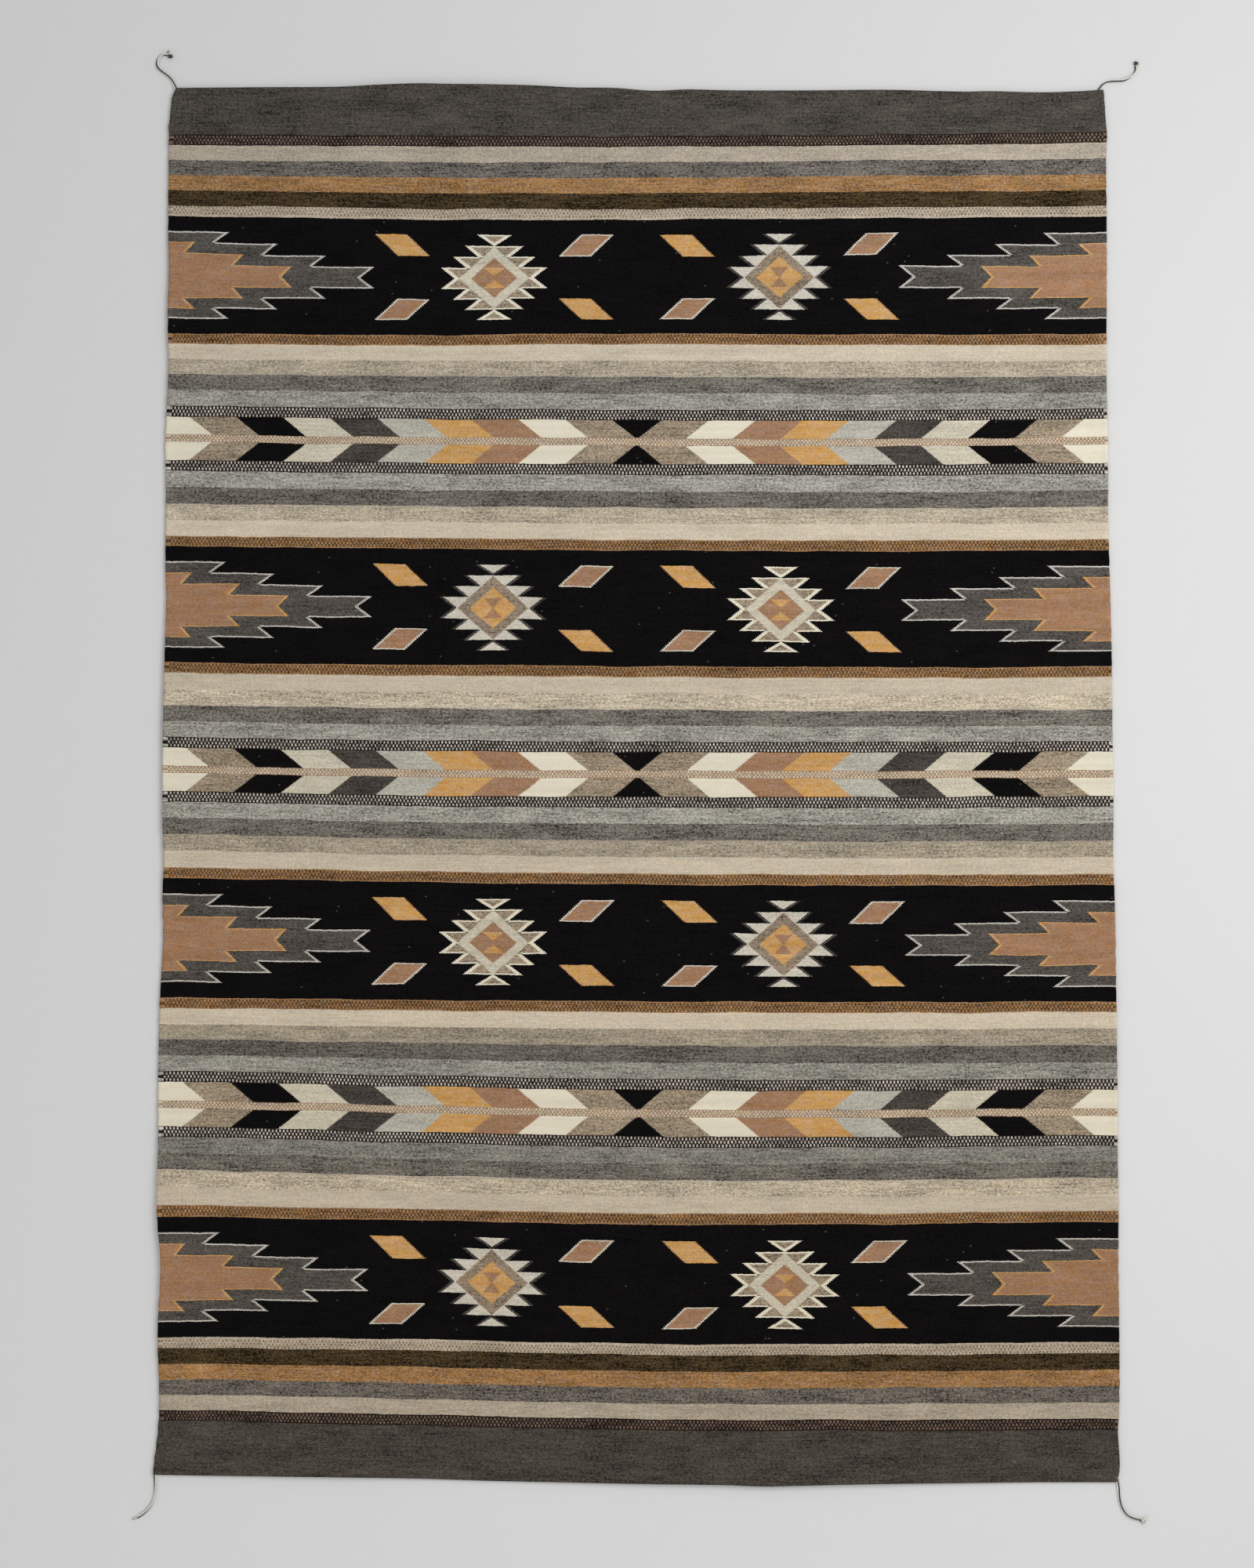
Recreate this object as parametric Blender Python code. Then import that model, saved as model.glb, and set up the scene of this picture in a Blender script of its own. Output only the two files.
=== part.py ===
"""Banded wool blanket, lying flat: one woven cloth and the four two-ply cords at its corners.

Metres, +Z up. The origin is under the middle of the cloth, on the surface that it lies on.
+Y runs along the warp, the blanket's length, and +X along the weft, its width.
"""

import math

import bmesh
import bpy
from mathutils import Vector

# Driving dimensions of the cloth
MM = 0.001
LENGTH = 1.830
WIDTH = 1.245
THICKNESS = 0.003
SELVAGE_RISE = 0.0008
SELVAGE_CENTRE = 0.0032
SELVAGE_REACH = 0.0055
EDGE_ROUNDING = 0.0008
EDGE_LIFT = 0.0014
EDGE_LIFT_REACH = 0.030
GRID_STEP = 0.044

# Driving dimensions of the corner cords
CORD_DIAMETER = 0.004
CORD_CLEARANCE = 0.0003
CORD_POINT_SPACING = 2.0 * CORD_DIAMETER

# How far each edge stands out from its straight line: (place along the edge, stands out), in mm
LEFT_EDGE = (
    (-915, 2.1), (-899, 1.0), (-863, -2.9), (-827, -4.9), (-756, -2.5), (-719, -2.1), (-666, -4.8),
    (-634, -4.6), (-575, 0.5), (-484, -0.4), (-392, 0.5), (-294, -0.8), (-240, -3.5), (-208, -4.1),
    (-163, -2.6), (-116, -4.3), (-77, -2.3), (-23, -1.7), (52, -1.5), (139, -2.5), (228, -4.1), (273, -2.5),
    (361, -2.2), (443, -0.9), (537, -4.5), (579, -3.0), (626, -2.4), (668, -3.3), (727, -1.8), (822, -1.7),
    (864, -1.3), (881, -3.3), (898, -4.6), (915, -10.1),
)
RIGHT_EDGE = (
    (-915, -1.8), (-899, 1.9), (-887, 2.0), (-847, -0.1), (-827, 1.7), (-756, 3.1), (-666, 2.9), (-634, 2.6),
    (-575, 3.9), (-484, 3.4), (-392, 3.8), (-300, 3.5), (-163, 2.9), (-116, 1.5), (-33, 2.6), (69, 2.2),
    (162, 2.2), (273, 0.4), (349, -0.8), (406, -0.2), (537, -1.0), (632, 0.2), (727, 1.3), (822, 1.3),
    (855, 2.7), (872, 1.6), (898, 0.1), (915, -1.1),
)
TOP_EDGE = (
    (-615, -0.8), (-504, 0.1), (-400, 0.4), (-347, 3.0), (-295, 4.5), (-259, 3.8), (-191, 3.3), (-139, 2.1),
    (-86, -0.4), (-34, -0.8), (18, -4.6), (63, -2.9), (121, -4.1), (226, -4.2), (331, -3.4), (435, -5.8),
    (472, -5.2), (539, -6.8), (591, -5.2), (622, -3.1),
)
BOTTOM_EDGE = (
    (-626, -8.0), (-591, -7.1), (-490, -5.8), (-388, -4.7), (-287, -3.0), (-186, 0.1), (-84, 2.1),
    (17, 3.9), (118, 4.9), (169, 6.6), (220, 5.5), (321, 3.7), (422, 2.8), (523, 1.8), (622, 1.8),
)

# Shallow ripples where an edge lifts off the surface: (centre x, centre y, reach x, reach y, height), in mm
RIPPLES = (
    (-640, -600, 130, 240, 4.0),
    (-640, 40, 110, 300, 3.0),
    (-640, 590, 100, 220, 2.0),
    (170, -930, 400, 120, 5.0),
    (-400, -930, 190, 100, 3.0),
    (-270, 930, 250, 110, 3.5),
    (640, -330, 90, 260, 2.0),
    (640, 480, 90, 200, 1.6),
)

# Corner cords from the cloth outwards: route points on the surface, (x, y) in mm
CORD_ROUTES = {
    "top_left": (
        (-614.3, 916.0), (-618.3, 924.2), (-623.0, 930.7), (-629.3, 936.3), (-635.2, 941.6),
        (-638.3, 947.1), (-638.0, 952.9), (-634.8, 957.7), (-630.3, 960.7), (-626.8, 961.1),
        (-624.5, 959.9),
    ),
    "top_right": (
        (616.1, 914.3), (619.5, 918.9), (624.5, 922.7), (631.6, 924.8), (639.9, 925.6), (647.9, 926.4),
        (655.4, 929.7), (661.0, 934.4), (664.1, 939.7), (664.0, 945.2),
    ),
    "bottom_left": (
        (-623.3, -907.5), (-623.0, -915.3), (-623.0, -923.9), (-623.9, -933.4), (-626.5, -942.2),
        (-631.4, -949.5), (-637.5, -955.3), (-643.5, -959.3), (-649.9, -961.9),
    ),
    "bottom_right": (
        (620.5, -916.6), (621.6, -923.4), (622.2, -932.4), (623.4, -940.9), (626.0, -948.5),
        (630.4, -955.3), (636.4, -959.8), (643.6, -962.2), (649.6, -963.5),
    ),
}

# Knots on the cords' ends: (length along the cord, width, height), in mm
KNOTS = {
    "top_left": (7.0, 6.6, 5.6),
    "top_right": (6.4, 5.8, 5.4),
    "bottom_right": (9.0, 8.6, 6.4),
}

# Colour, roughness and metallic value of each material
CLOTH_FINISH = ((0.18, 0.155, 0.13), 0.95, 0.0)
CORD_FINISH = ((0.35, 0.34, 0.31), 0.85, 0.0)
KNOT_FINISHES = {
    "top_left": ((0.045, 0.042, 0.04), 0.9, 0.0),
    "top_right": ((0.045, 0.042, 0.04), 0.9, 0.0),
    "bottom_right": ((0.55, 0.54, 0.5), 0.85, 0.0),
}


def clear_scene():
    """Remove every object that the file holds."""
    for old in list(bpy.data.objects):
        bpy.data.objects.remove(old, do_unlink=True)


def add_material(name, finish):
    """Make a Principled material from a colour, a roughness and a metallic value."""
    colour, roughness, metallic = finish
    material = bpy.data.materials.new(name)
    material.use_nodes = True
    shader = material.node_tree.nodes["Principled BSDF"]
    shader.inputs["Base Color"].default_value = (*colour, 1.0)
    shader.inputs["Roughness"].default_value = roughness
    shader.inputs["Metallic"].default_value = metallic
    return material


def add_object(name, data, material):
    """Put a mesh or a curve into the scene under its sub-part's name."""
    made = bpy.data.objects.new(name, data)
    made.data.materials.append(material)
    bpy.context.collection.objects.link(made)
    return made


def smooth_value(table, place):
    """Read a smooth curve through a table's (place, value) rows, held level past its ends."""
    if place <= table[0][0]:
        return table[0][1]
    if place >= table[-1][0]:
        return table[-1][1]
    index = next(i for i in range(len(table) - 1) if table[i + 1][0] >= place)
    (x0, y0), (x1, y1) = table[index], table[index + 1]
    before = table[max(index - 1, 0)]
    after = table[min(index + 2, len(table) - 1)]
    slope0 = (y1 - before[1]) / (x1 - before[0])
    slope1 = (after[1] - y0) / (after[0] - x0)
    span = x1 - x0
    t = (place - x0) / span
    rise = (2 * t**3 - 3 * t**2 + 1) * y0 + (3 * t**2 - 2 * t**3) * y1
    return rise + span * ((t**3 - 2 * t**2 + t) * slope0 + (t**3 - t**2) * slope1)


def cloth_place(across, along):
    """Place of a point of the cloth, from its distances to the left and to the bottom edge of the plain rectangle."""
    straight_x = across - WIDTH / 2
    straight_y = along - LENGTH / 2
    left = -WIDTH / 2 - smooth_value(LEFT_EDGE, straight_y / MM) * MM
    right = WIDTH / 2 + smooth_value(RIGHT_EDGE, straight_y / MM) * MM
    bottom = -LENGTH / 2 - smooth_value(BOTTOM_EDGE, straight_x / MM) * MM
    top = LENGTH / 2 + smooth_value(TOP_EDGE, straight_x / MM) * MM
    x = left + (right - left) * across / WIDTH
    y = bottom + (top - bottom) * along / LENGTH
    return x, y


def ripple_height(x, y):
    """Height of the cloth's underside over the surface: zero but for the ripples near its edges."""
    height = 0.0
    for centre_x, centre_y, reach_x, reach_y, top in RIPPLES:
        off = math.hypot((x / MM - centre_x) / reach_x, (y / MM - centre_y) / reach_y)
        if off < 1.0:
            height += top * MM * 0.5 * (1 + math.cos(math.pi * off))
    return height


def edge_distance(across, along):
    """Distance from the nearest edge of the cloth."""
    return max(min(across, WIDTH - across, along, LENGTH - along), 0.0)


def edge_lift(across, along):
    """How far the outermost strip of the cloth curls up from the surface, all round."""
    share = min(edge_distance(across, along) / EDGE_LIFT_REACH, 1.0)
    return EDGE_LIFT * 0.5 * (1 + math.cos(math.pi * share))


def cloth_thickness(across, along):
    """Thickness of the cloth, a little more along the selvage and the end cords."""
    edge = edge_distance(across, along)
    off = abs(edge - SELVAGE_CENTRE) / SELVAGE_REACH
    return THICKNESS + (SELVAGE_RISE * 0.5 * (1 + math.cos(math.pi * off)) if off < 1.0 else 0.0)


def stations(span):
    """Distances of the grid lines from one edge: close together over the rounded selvage, then even."""
    edge_lines = [
        EDGE_ROUNDING, SELVAGE_CENTRE, SELVAGE_CENTRE + 0.6 * SELVAGE_REACH, SELVAGE_CENTRE + 2 * SELVAGE_REACH,
        0.75 * EDGE_LIFT_REACH, EDGE_LIFT_REACH + 0.002,
    ]
    inner = span - 2 * edge_lines[-1]
    count = round(inner / GRID_STEP)
    middle = [edge_lines[-1] + inner * i / count for i in range(1, count)]
    return edge_lines + middle + [span - line for line in reversed(edge_lines)]


def border(columns, rows):
    """Grid indices round the outside, counter-clockwise seen from above."""
    last_column, last_row = len(columns) - 1, len(rows) - 1
    loop = [(i, 0) for i in range(last_column)]
    loop += [(last_column, j) for j in range(last_row)]
    loop += [(i, last_row) for i in range(last_column, 0, -1)]
    loop += [(0, j) for j in range(last_row, 0, -1)]
    return loop


def build_cloth():
    """The woven cloth: an underside, a top and a rounded edge between them, as one closed sheet."""
    columns, rows = stations(WIDTH), stations(LENGTH)
    sheet = bmesh.new()
    under, top = {}, {}
    for i, across in enumerate(columns):
        for j, along in enumerate(rows):
            x, y = cloth_place(across, along)
            z = ripple_height(x, y) + edge_lift(across, along)
            under[i, j] = sheet.verts.new((x, y, z))
            top[i, j] = sheet.verts.new((x, y, z + cloth_thickness(across, along)))
    for i in range(len(columns) - 1):
        for j in range(len(rows) - 1):
            corners = ((i, j), (i + 1, j), (i + 1, j + 1), (i, j + 1))
            sheet.faces.new([top[c] for c in corners])
            sheet.faces.new([under[c] for c in reversed(corners)])

    # The rounded edge passes through a rim at half the thickness, on the outline itself
    loop = border(columns, rows)
    rim = []
    for i, j in loop:
        across = 0.0 if i == 0 else WIDTH if i == len(columns) - 1 else columns[i]
        along = 0.0 if j == 0 else LENGTH if j == len(rows) - 1 else rows[j]
        x, y = cloth_place(across, along)
        rim.append(sheet.verts.new((x, y, ripple_height(x, y) + EDGE_LIFT + THICKNESS / 2)))
    for k, here in enumerate(loop):
        after = loop[(k + 1) % len(loop)]
        rim_after = rim[(k + 1) % len(loop)]
        sheet.faces.new((under[here], under[after], rim_after, rim[k]))
        sheet.faces.new((rim[k], rim_after, top[after], top[here]))

    # The outline's own box is centred on the origin
    xs, ys = [v.co.x for v in sheet.verts], [v.co.y for v in sheet.verts]
    middle = Vector(((min(xs) + max(xs)) / 2, (min(ys) + max(ys)) / 2, 0.0))
    bmesh.ops.translate(sheet, verts=sheet.verts, vec=-middle)
    bmesh.ops.triangulate(sheet, faces=sheet.faces)

    data = bpy.data.meshes.new("blanket")
    sheet.to_mesh(data)
    sheet.free()
    data.shade_smooth()
    data.set_sharp_from_angle(angle=math.radians(40))
    return add_object("blanket", data, add_material("woven_wool", CLOTH_FINISH))


def smooth_route(points):
    """Dense points along a smooth curve through the route's own points."""
    route = [Vector((x * MM, y * MM, CORD_DIAMETER / 2)) for x, y in points]
    padded = [2 * route[0] - route[1]] + route + [2 * route[-1] - route[-2]]
    dense = []
    for before, start, end, after in zip(padded, padded[1:], padded[2:], padded[3:]):
        for step in range(12):
            t = step / 12
            dense.append(0.5 * (
                2 * start + (end - before) * t
                + (2 * before - 5 * start + 4 * end - after) * t**2
                + (3 * start - before - 3 * end + after) * t**3
            ))
    return dense + [route[-1]]


def evenly_spaced(dense, spacing):
    """Points at equal steps along the curve, its two ends kept."""
    lengths = [0.0]
    for here, after in zip(dense, dense[1:]):
        lengths.append(lengths[-1] + (after - here).length)
    count = round(lengths[-1] / spacing)
    points = []
    for n in range(count + 1):
        wanted = lengths[-1] * n / count
        index = next(i for i in range(len(lengths) - 1) if lengths[i + 1] >= wanted - 1e-9)
        share = (wanted - lengths[index]) / (lengths[index + 1] - lengths[index])
        points.append(dense[index].lerp(dense[index + 1], share))
    return points


def build_cord(corner, material):
    """A corner cord: a round tube on its smooth route, flat on the surface."""
    points = evenly_spaced(smooth_route(CORD_ROUTES[corner]), CORD_POINT_SPACING)
    curve = bpy.data.curves.new(f"cord_{corner}", "CURVE")
    curve.dimensions = "3D"
    curve.bevel_depth = CORD_DIAMETER / 2
    curve.bevel_resolution = 2
    curve.use_fill_caps = True
    line = curve.splines.new("POLY")
    line.points.add(len(points) - 1)
    for spot, place in zip(line.points, points):
        spot.co = (*place, 1.0)
    add_object(f"cord_{corner}", curve, material)
    return points


def build_knot(corner, cord_points):
    """The overhand knot in a cord's end: a small ball drawn in along the cord by its turns."""
    long, wide, high = (size * MM for size in KNOTS[corner])
    along = (cord_points[-1] - cord_points[-2]).normalized()
    centre = cord_points[-1] + along * (long / 2 + CORD_CLEARANCE)
    centre.z = high / 2
    turned = along.to_track_quat("X", "Z").to_matrix().to_4x4()

    ball = bmesh.new()
    bmesh.ops.create_uvsphere(ball, u_segments=10, v_segments=6, radius=0.5)
    for vertex in ball.verts:
        turn = math.atan2(vertex.co.y, vertex.co.x)
        groove = 1.0 - 0.1 * math.cos(2 * turn + 7.0 * vertex.co.z) ** 2
        vertex.co = Vector((vertex.co.x * long, vertex.co.y * wide, vertex.co.z * high)) * groove
    bmesh.ops.transform(ball, matrix=turned, verts=ball.verts)
    bmesh.ops.translate(ball, verts=ball.verts, vec=centre)
    lowest = min(vertex.co.z for vertex in ball.verts)
    bmesh.ops.translate(ball, verts=ball.verts, vec=(0, 0, -lowest))
    bmesh.ops.triangulate(ball, faces=ball.faces)

    data = bpy.data.meshes.new(f"knot_{corner}")
    ball.to_mesh(data)
    ball.free()
    data.shade_smooth()
    add_object(f"knot_{corner}", data, add_material(f"knot_{corner}", KNOT_FINISHES[corner]))


def main():
    clear_scene()
    build_cloth()
    cord_material = add_material("cord_yarn", CORD_FINISH)
    for corner in CORD_ROUTES:
        points = build_cord(corner, cord_material)
        if corner in KNOTS:
            build_knot(corner, points)


main()
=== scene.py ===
# %% [markdown]
# # A hand-woven wool blanket, thread by thread
#
# The blanket is a weft-faced tapestry weave: strong warp cords run its whole length, hidden under soft wool
# wefts that are beaten down hard. Bands, beads, diamonds and arrows are all made by changing the weft's
# colour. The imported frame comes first, because every piece has to lie where the solid model says, in
# metres.

# %% Load the frame
import math

import bpy
from mathutils import Euler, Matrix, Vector, noise


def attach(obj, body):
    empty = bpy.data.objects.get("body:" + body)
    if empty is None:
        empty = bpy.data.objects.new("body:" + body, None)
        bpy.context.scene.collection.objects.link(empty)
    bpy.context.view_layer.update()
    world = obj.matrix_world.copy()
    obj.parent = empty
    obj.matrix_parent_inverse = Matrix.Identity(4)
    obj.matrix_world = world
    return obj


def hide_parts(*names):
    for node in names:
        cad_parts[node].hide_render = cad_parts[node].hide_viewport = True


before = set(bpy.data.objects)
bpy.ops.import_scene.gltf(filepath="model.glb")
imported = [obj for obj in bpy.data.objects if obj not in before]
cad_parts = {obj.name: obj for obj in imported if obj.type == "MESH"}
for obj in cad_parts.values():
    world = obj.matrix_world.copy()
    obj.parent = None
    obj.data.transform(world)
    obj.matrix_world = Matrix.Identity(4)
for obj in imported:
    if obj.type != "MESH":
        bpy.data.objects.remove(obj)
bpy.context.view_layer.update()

bpy.ops.object.select_all(action="DESELECT")
MM = 0.001
print("nodes to dress:", sorted(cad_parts))

# %% [markdown]
# ## The camera
#
# The picture is a copy stand shot from four metres above. A tilt of 3.6 degrees brings the foot end a
# little nearer, so the blanket looks wider there. One could stretch the cloth instead, but with a true
# camera it stays a true rectangle. The tilt comes from the widths of both ends and from the heights of the
# repeated bands.

# %% Camera
CAMERA_DISTANCE = 4.0
CAMERA_TILT = math.radians(3.62)
CAMERA_LENS_MM = 70.03
CAMERA_SENSOR_MM = 36.0
CAMERA_AIM = Vector((-0.0133, -0.0119, 0.0))


def add_object(name, data):
    """A new object in the scene that shows this mesh, lamp or camera."""
    made = bpy.data.objects.new(name, data)
    bpy.context.collection.objects.link(made)
    return made


def add_camera():
    """A camera above the floor that leans back by its tilt, with the picture's up along +Y."""
    data = bpy.data.cameras.new("camera")
    data.lens = CAMERA_LENS_MM
    data.sensor_width = CAMERA_SENSOR_MM
    camera = add_object("camera", data)
    camera.rotation_euler = (CAMERA_TILT, 0.0, 0.0)
    back = Vector((0.0, -math.sin(CAMERA_TILT), math.cos(CAMERA_TILT)))
    camera.location = CAMERA_AIM + back * CAMERA_DISTANCE
    return camera


bpy.context.scene.camera = add_camera()
print("camera stands at", [round(c, 3) for c in bpy.context.scene.camera.location])

# %% [markdown]
# ## Small helpers for shader nodes
#
# A weaving pattern is arithmetic: how far across, how far along, which stripe is that. So most nodes here
# are Math nodes. A `Value` wraps a socket, so that the sum `a * 2 + b` adds a Multiply node and an Add
# node. A comparison gives a mask of 0 or 1, `&` keeps what two masks share and `|` joins them.

# %% Node helpers
def sign(operation, swapped=False):
    """A method that adds a Math node of this kind."""
    def method(self, *others):
        return calc(operation, *((*others, self) if swapped else (self, *others)))
    return method


class Value:
    """A socket to reckon with."""

    def __init__(self, socket):
        self.socket = socket

    __add__, __radd__ = sign("ADD"), sign("ADD", swapped=True)
    __sub__, __rsub__ = sign("SUBTRACT"), sign("SUBTRACT", swapped=True)
    __mul__, __rmul__ = sign("MULTIPLY"), sign("MULTIPLY", swapped=True)
    __truediv__, __mod__, __pow__ = sign("DIVIDE"), sign("FLOORED_MODULO"), sign("POWER")
    __gt__, __lt__ = sign("GREATER_THAN"), sign("LESS_THAN")
    __and__, __or__ = sign("MULTIPLY"), sign("MAXIMUM")
    __abs__, __round__, __floor__ = sign("ABSOLUTE"), sign("ROUND"), sign("FLOOR")


def wire(source, target):
    """Link a value or a socket to a socket, or set a plain number or colour on it."""
    source = getattr(source, "socket", source)
    if isinstance(source, bpy.types.NodeSocket):
        target.id_data.links.new(source, target)
    else:
        target.default_value = source


def add_node(tree, kind, inputs, **settings):
    """Add a node with its settings, and wire its inputs by name or number."""
    node = tree.nodes.new("ShaderNode" + kind)
    for name, setting in settings.items():
        setattr(node, name, setting)
    for name, source in inputs.items():
        wire(source, node.inputs[name])
    return node


def tree_of(values):
    """The node tree that the first Value among some values lies in."""
    return next(value.socket.id_data for value in values if isinstance(value, Value))


def result(kind, values, **settings):
    """Add a node, wire its inputs in order, and return its first output."""
    return Value(add_node(tree_of(values), kind, dict(enumerate(values)), **settings).outputs[0])


def calc(operation, *values):
    """One Math node's result."""
    return result("Math", values, operation=operation)


def blend(mask, under, over):
    """Where mask is 1 the result is over, and where it is 0 it is under."""
    return Value(add_node(mask.socket.id_data, "Mix", {0: mask, 2: under, 3: over}).outputs[0])


def group(name, inputs, outputs):
    """Start a node group. A socket titled Colour holds a colour, and any other a number."""
    tree = bpy.data.node_groups.new(name, "ShaderNodeTree")
    for titles, side in ((inputs, "INPUT"), (outputs, "OUTPUT")):
        for title in titles:
            kind = "NodeSocketColor" if title == "Colour" else "NodeSocketFloat"
            tree.interface.new_socket(title, in_out=side, socket_type=kind)
    given = {socket.name: Value(socket) for socket in tree.nodes.new("NodeGroupInput").outputs}
    return tree, given, tree.nodes.new("NodeGroupOutput").inputs


def use_group(source, **values):
    """Place a node group, with its inputs wired by name, and return its outputs by name."""
    inputs = {title.replace("_", " "): value for title, value in values.items()}
    node = add_node(tree_of(values.values()), "Group", inputs, node_tree=source)
    return {socket.name: Value(socket) for socket in node.outputs}


print("node helpers ready")

# %% [markdown]
# ## The yarns
#
# A weaver first winds the yarns. Each has a name, a colour as seen in daylight, and how strongly it is
# flecked. Undyed greys and browns are carded from light and dark fleeces, so they are heathered, while dyed
# ochre and black are nearly even. All later nodes only decide which yarn lies where, and one ramp colours
# it at the end.

# %% Yarn basket
YARNS = (
    # name, colour in sRGB steps, fleck
    ("black", (12, 10, 11), 0.20),
    ("cream", (197, 184, 163), 0.07),
    ("beige", (170, 158, 138), 0.20),
    ("dark grey", (108, 103, 95), 0.32),
    ("mid grey", (146, 143, 134), 0.25),
    ("brown heather", (61, 49, 32), 0.46),
    ("ochre heather", (149, 113, 76), 0.22),
    ("steel grey", (101, 95, 88), 0.34),
    ("sand", (169, 157, 140), 0.12),
    ("charcoal", (71, 66, 60), 0.26),
    ("ivory", (220, 212, 191), 0.02),
    ("taupe", (146, 131, 111), 0.24),
    ("mauve", (155, 119, 92), 0.10),
    ("ochre", (194, 150, 95), 0.08),
    ("mist", (175, 171, 158), 0.11),
    ("slate", (68, 63, 58), 0.26),
    ("pale sand", (195, 187, 167), 0.09),
    ("copper", (155, 118, 90), 0.09),
    ("outline grey", (186, 181, 172), 0.10),
    ("arrow grey", (80, 75, 70), 0.24),
    ("bead white", (168, 163, 153), 0.30),
    ("bead brown", (40, 31, 27), 0.30),
    ("bead pink", (102, 86, 75), 0.34),
    ("bead ochre", (146, 111, 76), 0.22),
    ("bead olive", (93, 70, 47), 0.30),
    ("bead cream", (174, 161, 142), 0.14),
    ("bead umber", (137, 121, 103), 0.22),
    ("bead rose", (156, 133, 111), 0.14),
    ("bead bone", (200, 184, 160), 0.12),
    ("tooth grey", (197, 190, 176), 0.08),
    ("edging grey", (66, 62, 58), 0.30),
    ("ochre line", (146, 112, 80), 0.15),
)
NUMBER = {name: float(number) for number, (name, _, _) in enumerate(YARNS)}


def linear(colour):
    """Colour in sRGB steps as linear light."""
    shares = [step / 255 for step in colour]
    return [s / 12.92 if s <= 0.04045 else ((s + 0.055) / 1.055) ** 2.4 for s in shares]


print(len(YARNS), "yarns in the basket")

# %% [markdown]
# A lookup turns a whole number into another value. A colour ramp with constant steps does it: the number
# picks the middle of its own step. The ramp holds at most 32 steps, which is why the basket holds no more
# yarns.

# %% Lookup ramps
def ramp(number, colours):
    """A constant colour ramp that is read by a whole number."""
    node = add_node(number.socket.id_data, "ValToRGB", {0: (number + 0.5) / float(len(colours))})
    node.color_ramp.interpolation = "CONSTANT"
    steps = node.color_ramp.elements
    while len(steps) < len(colours):
        steps.new(len(steps) / len(colours))
    for index, colour in enumerate(colours):
        steps[index].position = index / len(colours)
        steps[index].color = (*colour, 1.0)
    return Value(node.outputs[0])


def ramp_number(number, values):
    """The value that stands at a place in a list of numbers from 0 to 1."""
    return ramp(number, [(value, value, value) for value in values])


def pick_yarn(number, names):
    """The yarn number that a place in a list of yarn names stands for."""
    grey = ramp_number(number, [NUMBER[name] / len(YARNS) for name in names])
    return round(grey * float(len(YARNS)))


print("lookup ramps ready")

# %% [markdown]
# ## The grid of the weave
#
# Seen close, a weft-faced cloth is a field of small beads, each where a weft passes over one warp. The next
# weft passes over the next warp, so neighbouring columns are half a bead apart. This group finds the bead
# under a point: the middle of its warp, so that slanted outlines step from warp to warp, and its rounded
# height for the bump. One could model each bead, but there are over half a million.

# %% Weave grid group
WARP_PITCH = 2.375
BEAD_HEIGHT = 1.7
ARCH_ROUNDNESS = 0.7
CROWN_DEPTH = 0.45


def make_weave_grid():
    """From Across and Along in mm to the bead under them."""
    tree, given, out = group(
        "Weave grid", ("Across", "Along"), ("Across", "Warp", "Bead", "In warp", "Height")
    )
    columns = given["Across"] / WARP_PITCH
    warp = math.floor(columns)
    half_step = warp % 2.0 * 0.5
    stack = given["Along"] / BEAD_HEIGHT + half_step
    bead = math.floor(stack)
    in_warp = columns - warp
    wire((warp + 0.5) * WARP_PITCH, out["Across"])
    wire(warp, out["Warp"])
    wire(bead, out["Bead"])
    wire(in_warp, out["In warp"])

    # A sine arch over the warp and a flatter one over the bead
    arch = calc("SINE", in_warp * math.pi)
    crown = calc("SINE", (stack - bead) * math.pi)
    wire(arch ** ARCH_ROUNDNESS * (crown * CROWN_DEPTH + (1.0 - CROWN_DEPTH)), out["Height"])
    return tree


WEAVE_GRID = make_weave_grid()
print("weave grid: a warp every", WARP_PITCH, "mm and a bead every", BEAD_HEIGHT, "mm")

# %% [markdown]
# ## Beaded stripes
#
# When two colours are thrown in turn, one weft each, every second warp shows one colour and the others the
# other, which gives a row of upright beads. Swapping the order every few wefts staggers the rows like
# bricks. At the selvage both wefts turn round the last warps, so there the beads run together into short
# bars.

# %% Beading group
SELVAGE_FROM = 617.0
BEAD_ROWS = 3.0


def make_beading():
    """Mask of the lighter beads in a stripe: Depth is the distance from the stripe's edge, in mm."""
    tree, given, out = group(
        "Beading", ("Depth", "Line", "Row height", "Fullness", "Warp", "In warp", "From middle"), ("Beads",)
    )
    rows_deep = (given["Depth"] - given["Line"]) / given["Row height"]
    row = math.floor(rows_deep)
    in_row = rows_deep - row
    in_rows = (rows_deep > 0.0) & (rows_deep < BEAD_ROWS)

    # An upright oval in each second column, the columns changing places from row to row
    mine = (given["Warp"] + row) % 2.0 < 0.5
    wide = (given["In warp"] * 2.0 - 1.0) ** 2.0
    tall = (in_row * 2.0 - 1.0) ** 2.0
    bead = mine & (wide + tall < given["Fullness"])

    # Bars at the selvage
    at_selvage = given["From middle"] > SELVAGE_FROM
    bar = row % 2.0 < 0.5
    wire(in_rows & blend(at_selvage, bead, bar), out["Beads"])
    return tree


BEADING = make_beading()
print("beading group ready")

# %% [markdown]
# ## Serrated diamonds
#
# Each black band carries two stepped diamonds: four rows of teeth above the middle line and four below,
# each tooth with a level top and a slanted side, because a level edge is one weft and a slant moves over by
# a warp every two wefts. Inside lie a ring, a smaller diamond and an hourglass. A light-edged and a soft-
# edged colouring trade places from band to band.

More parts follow.
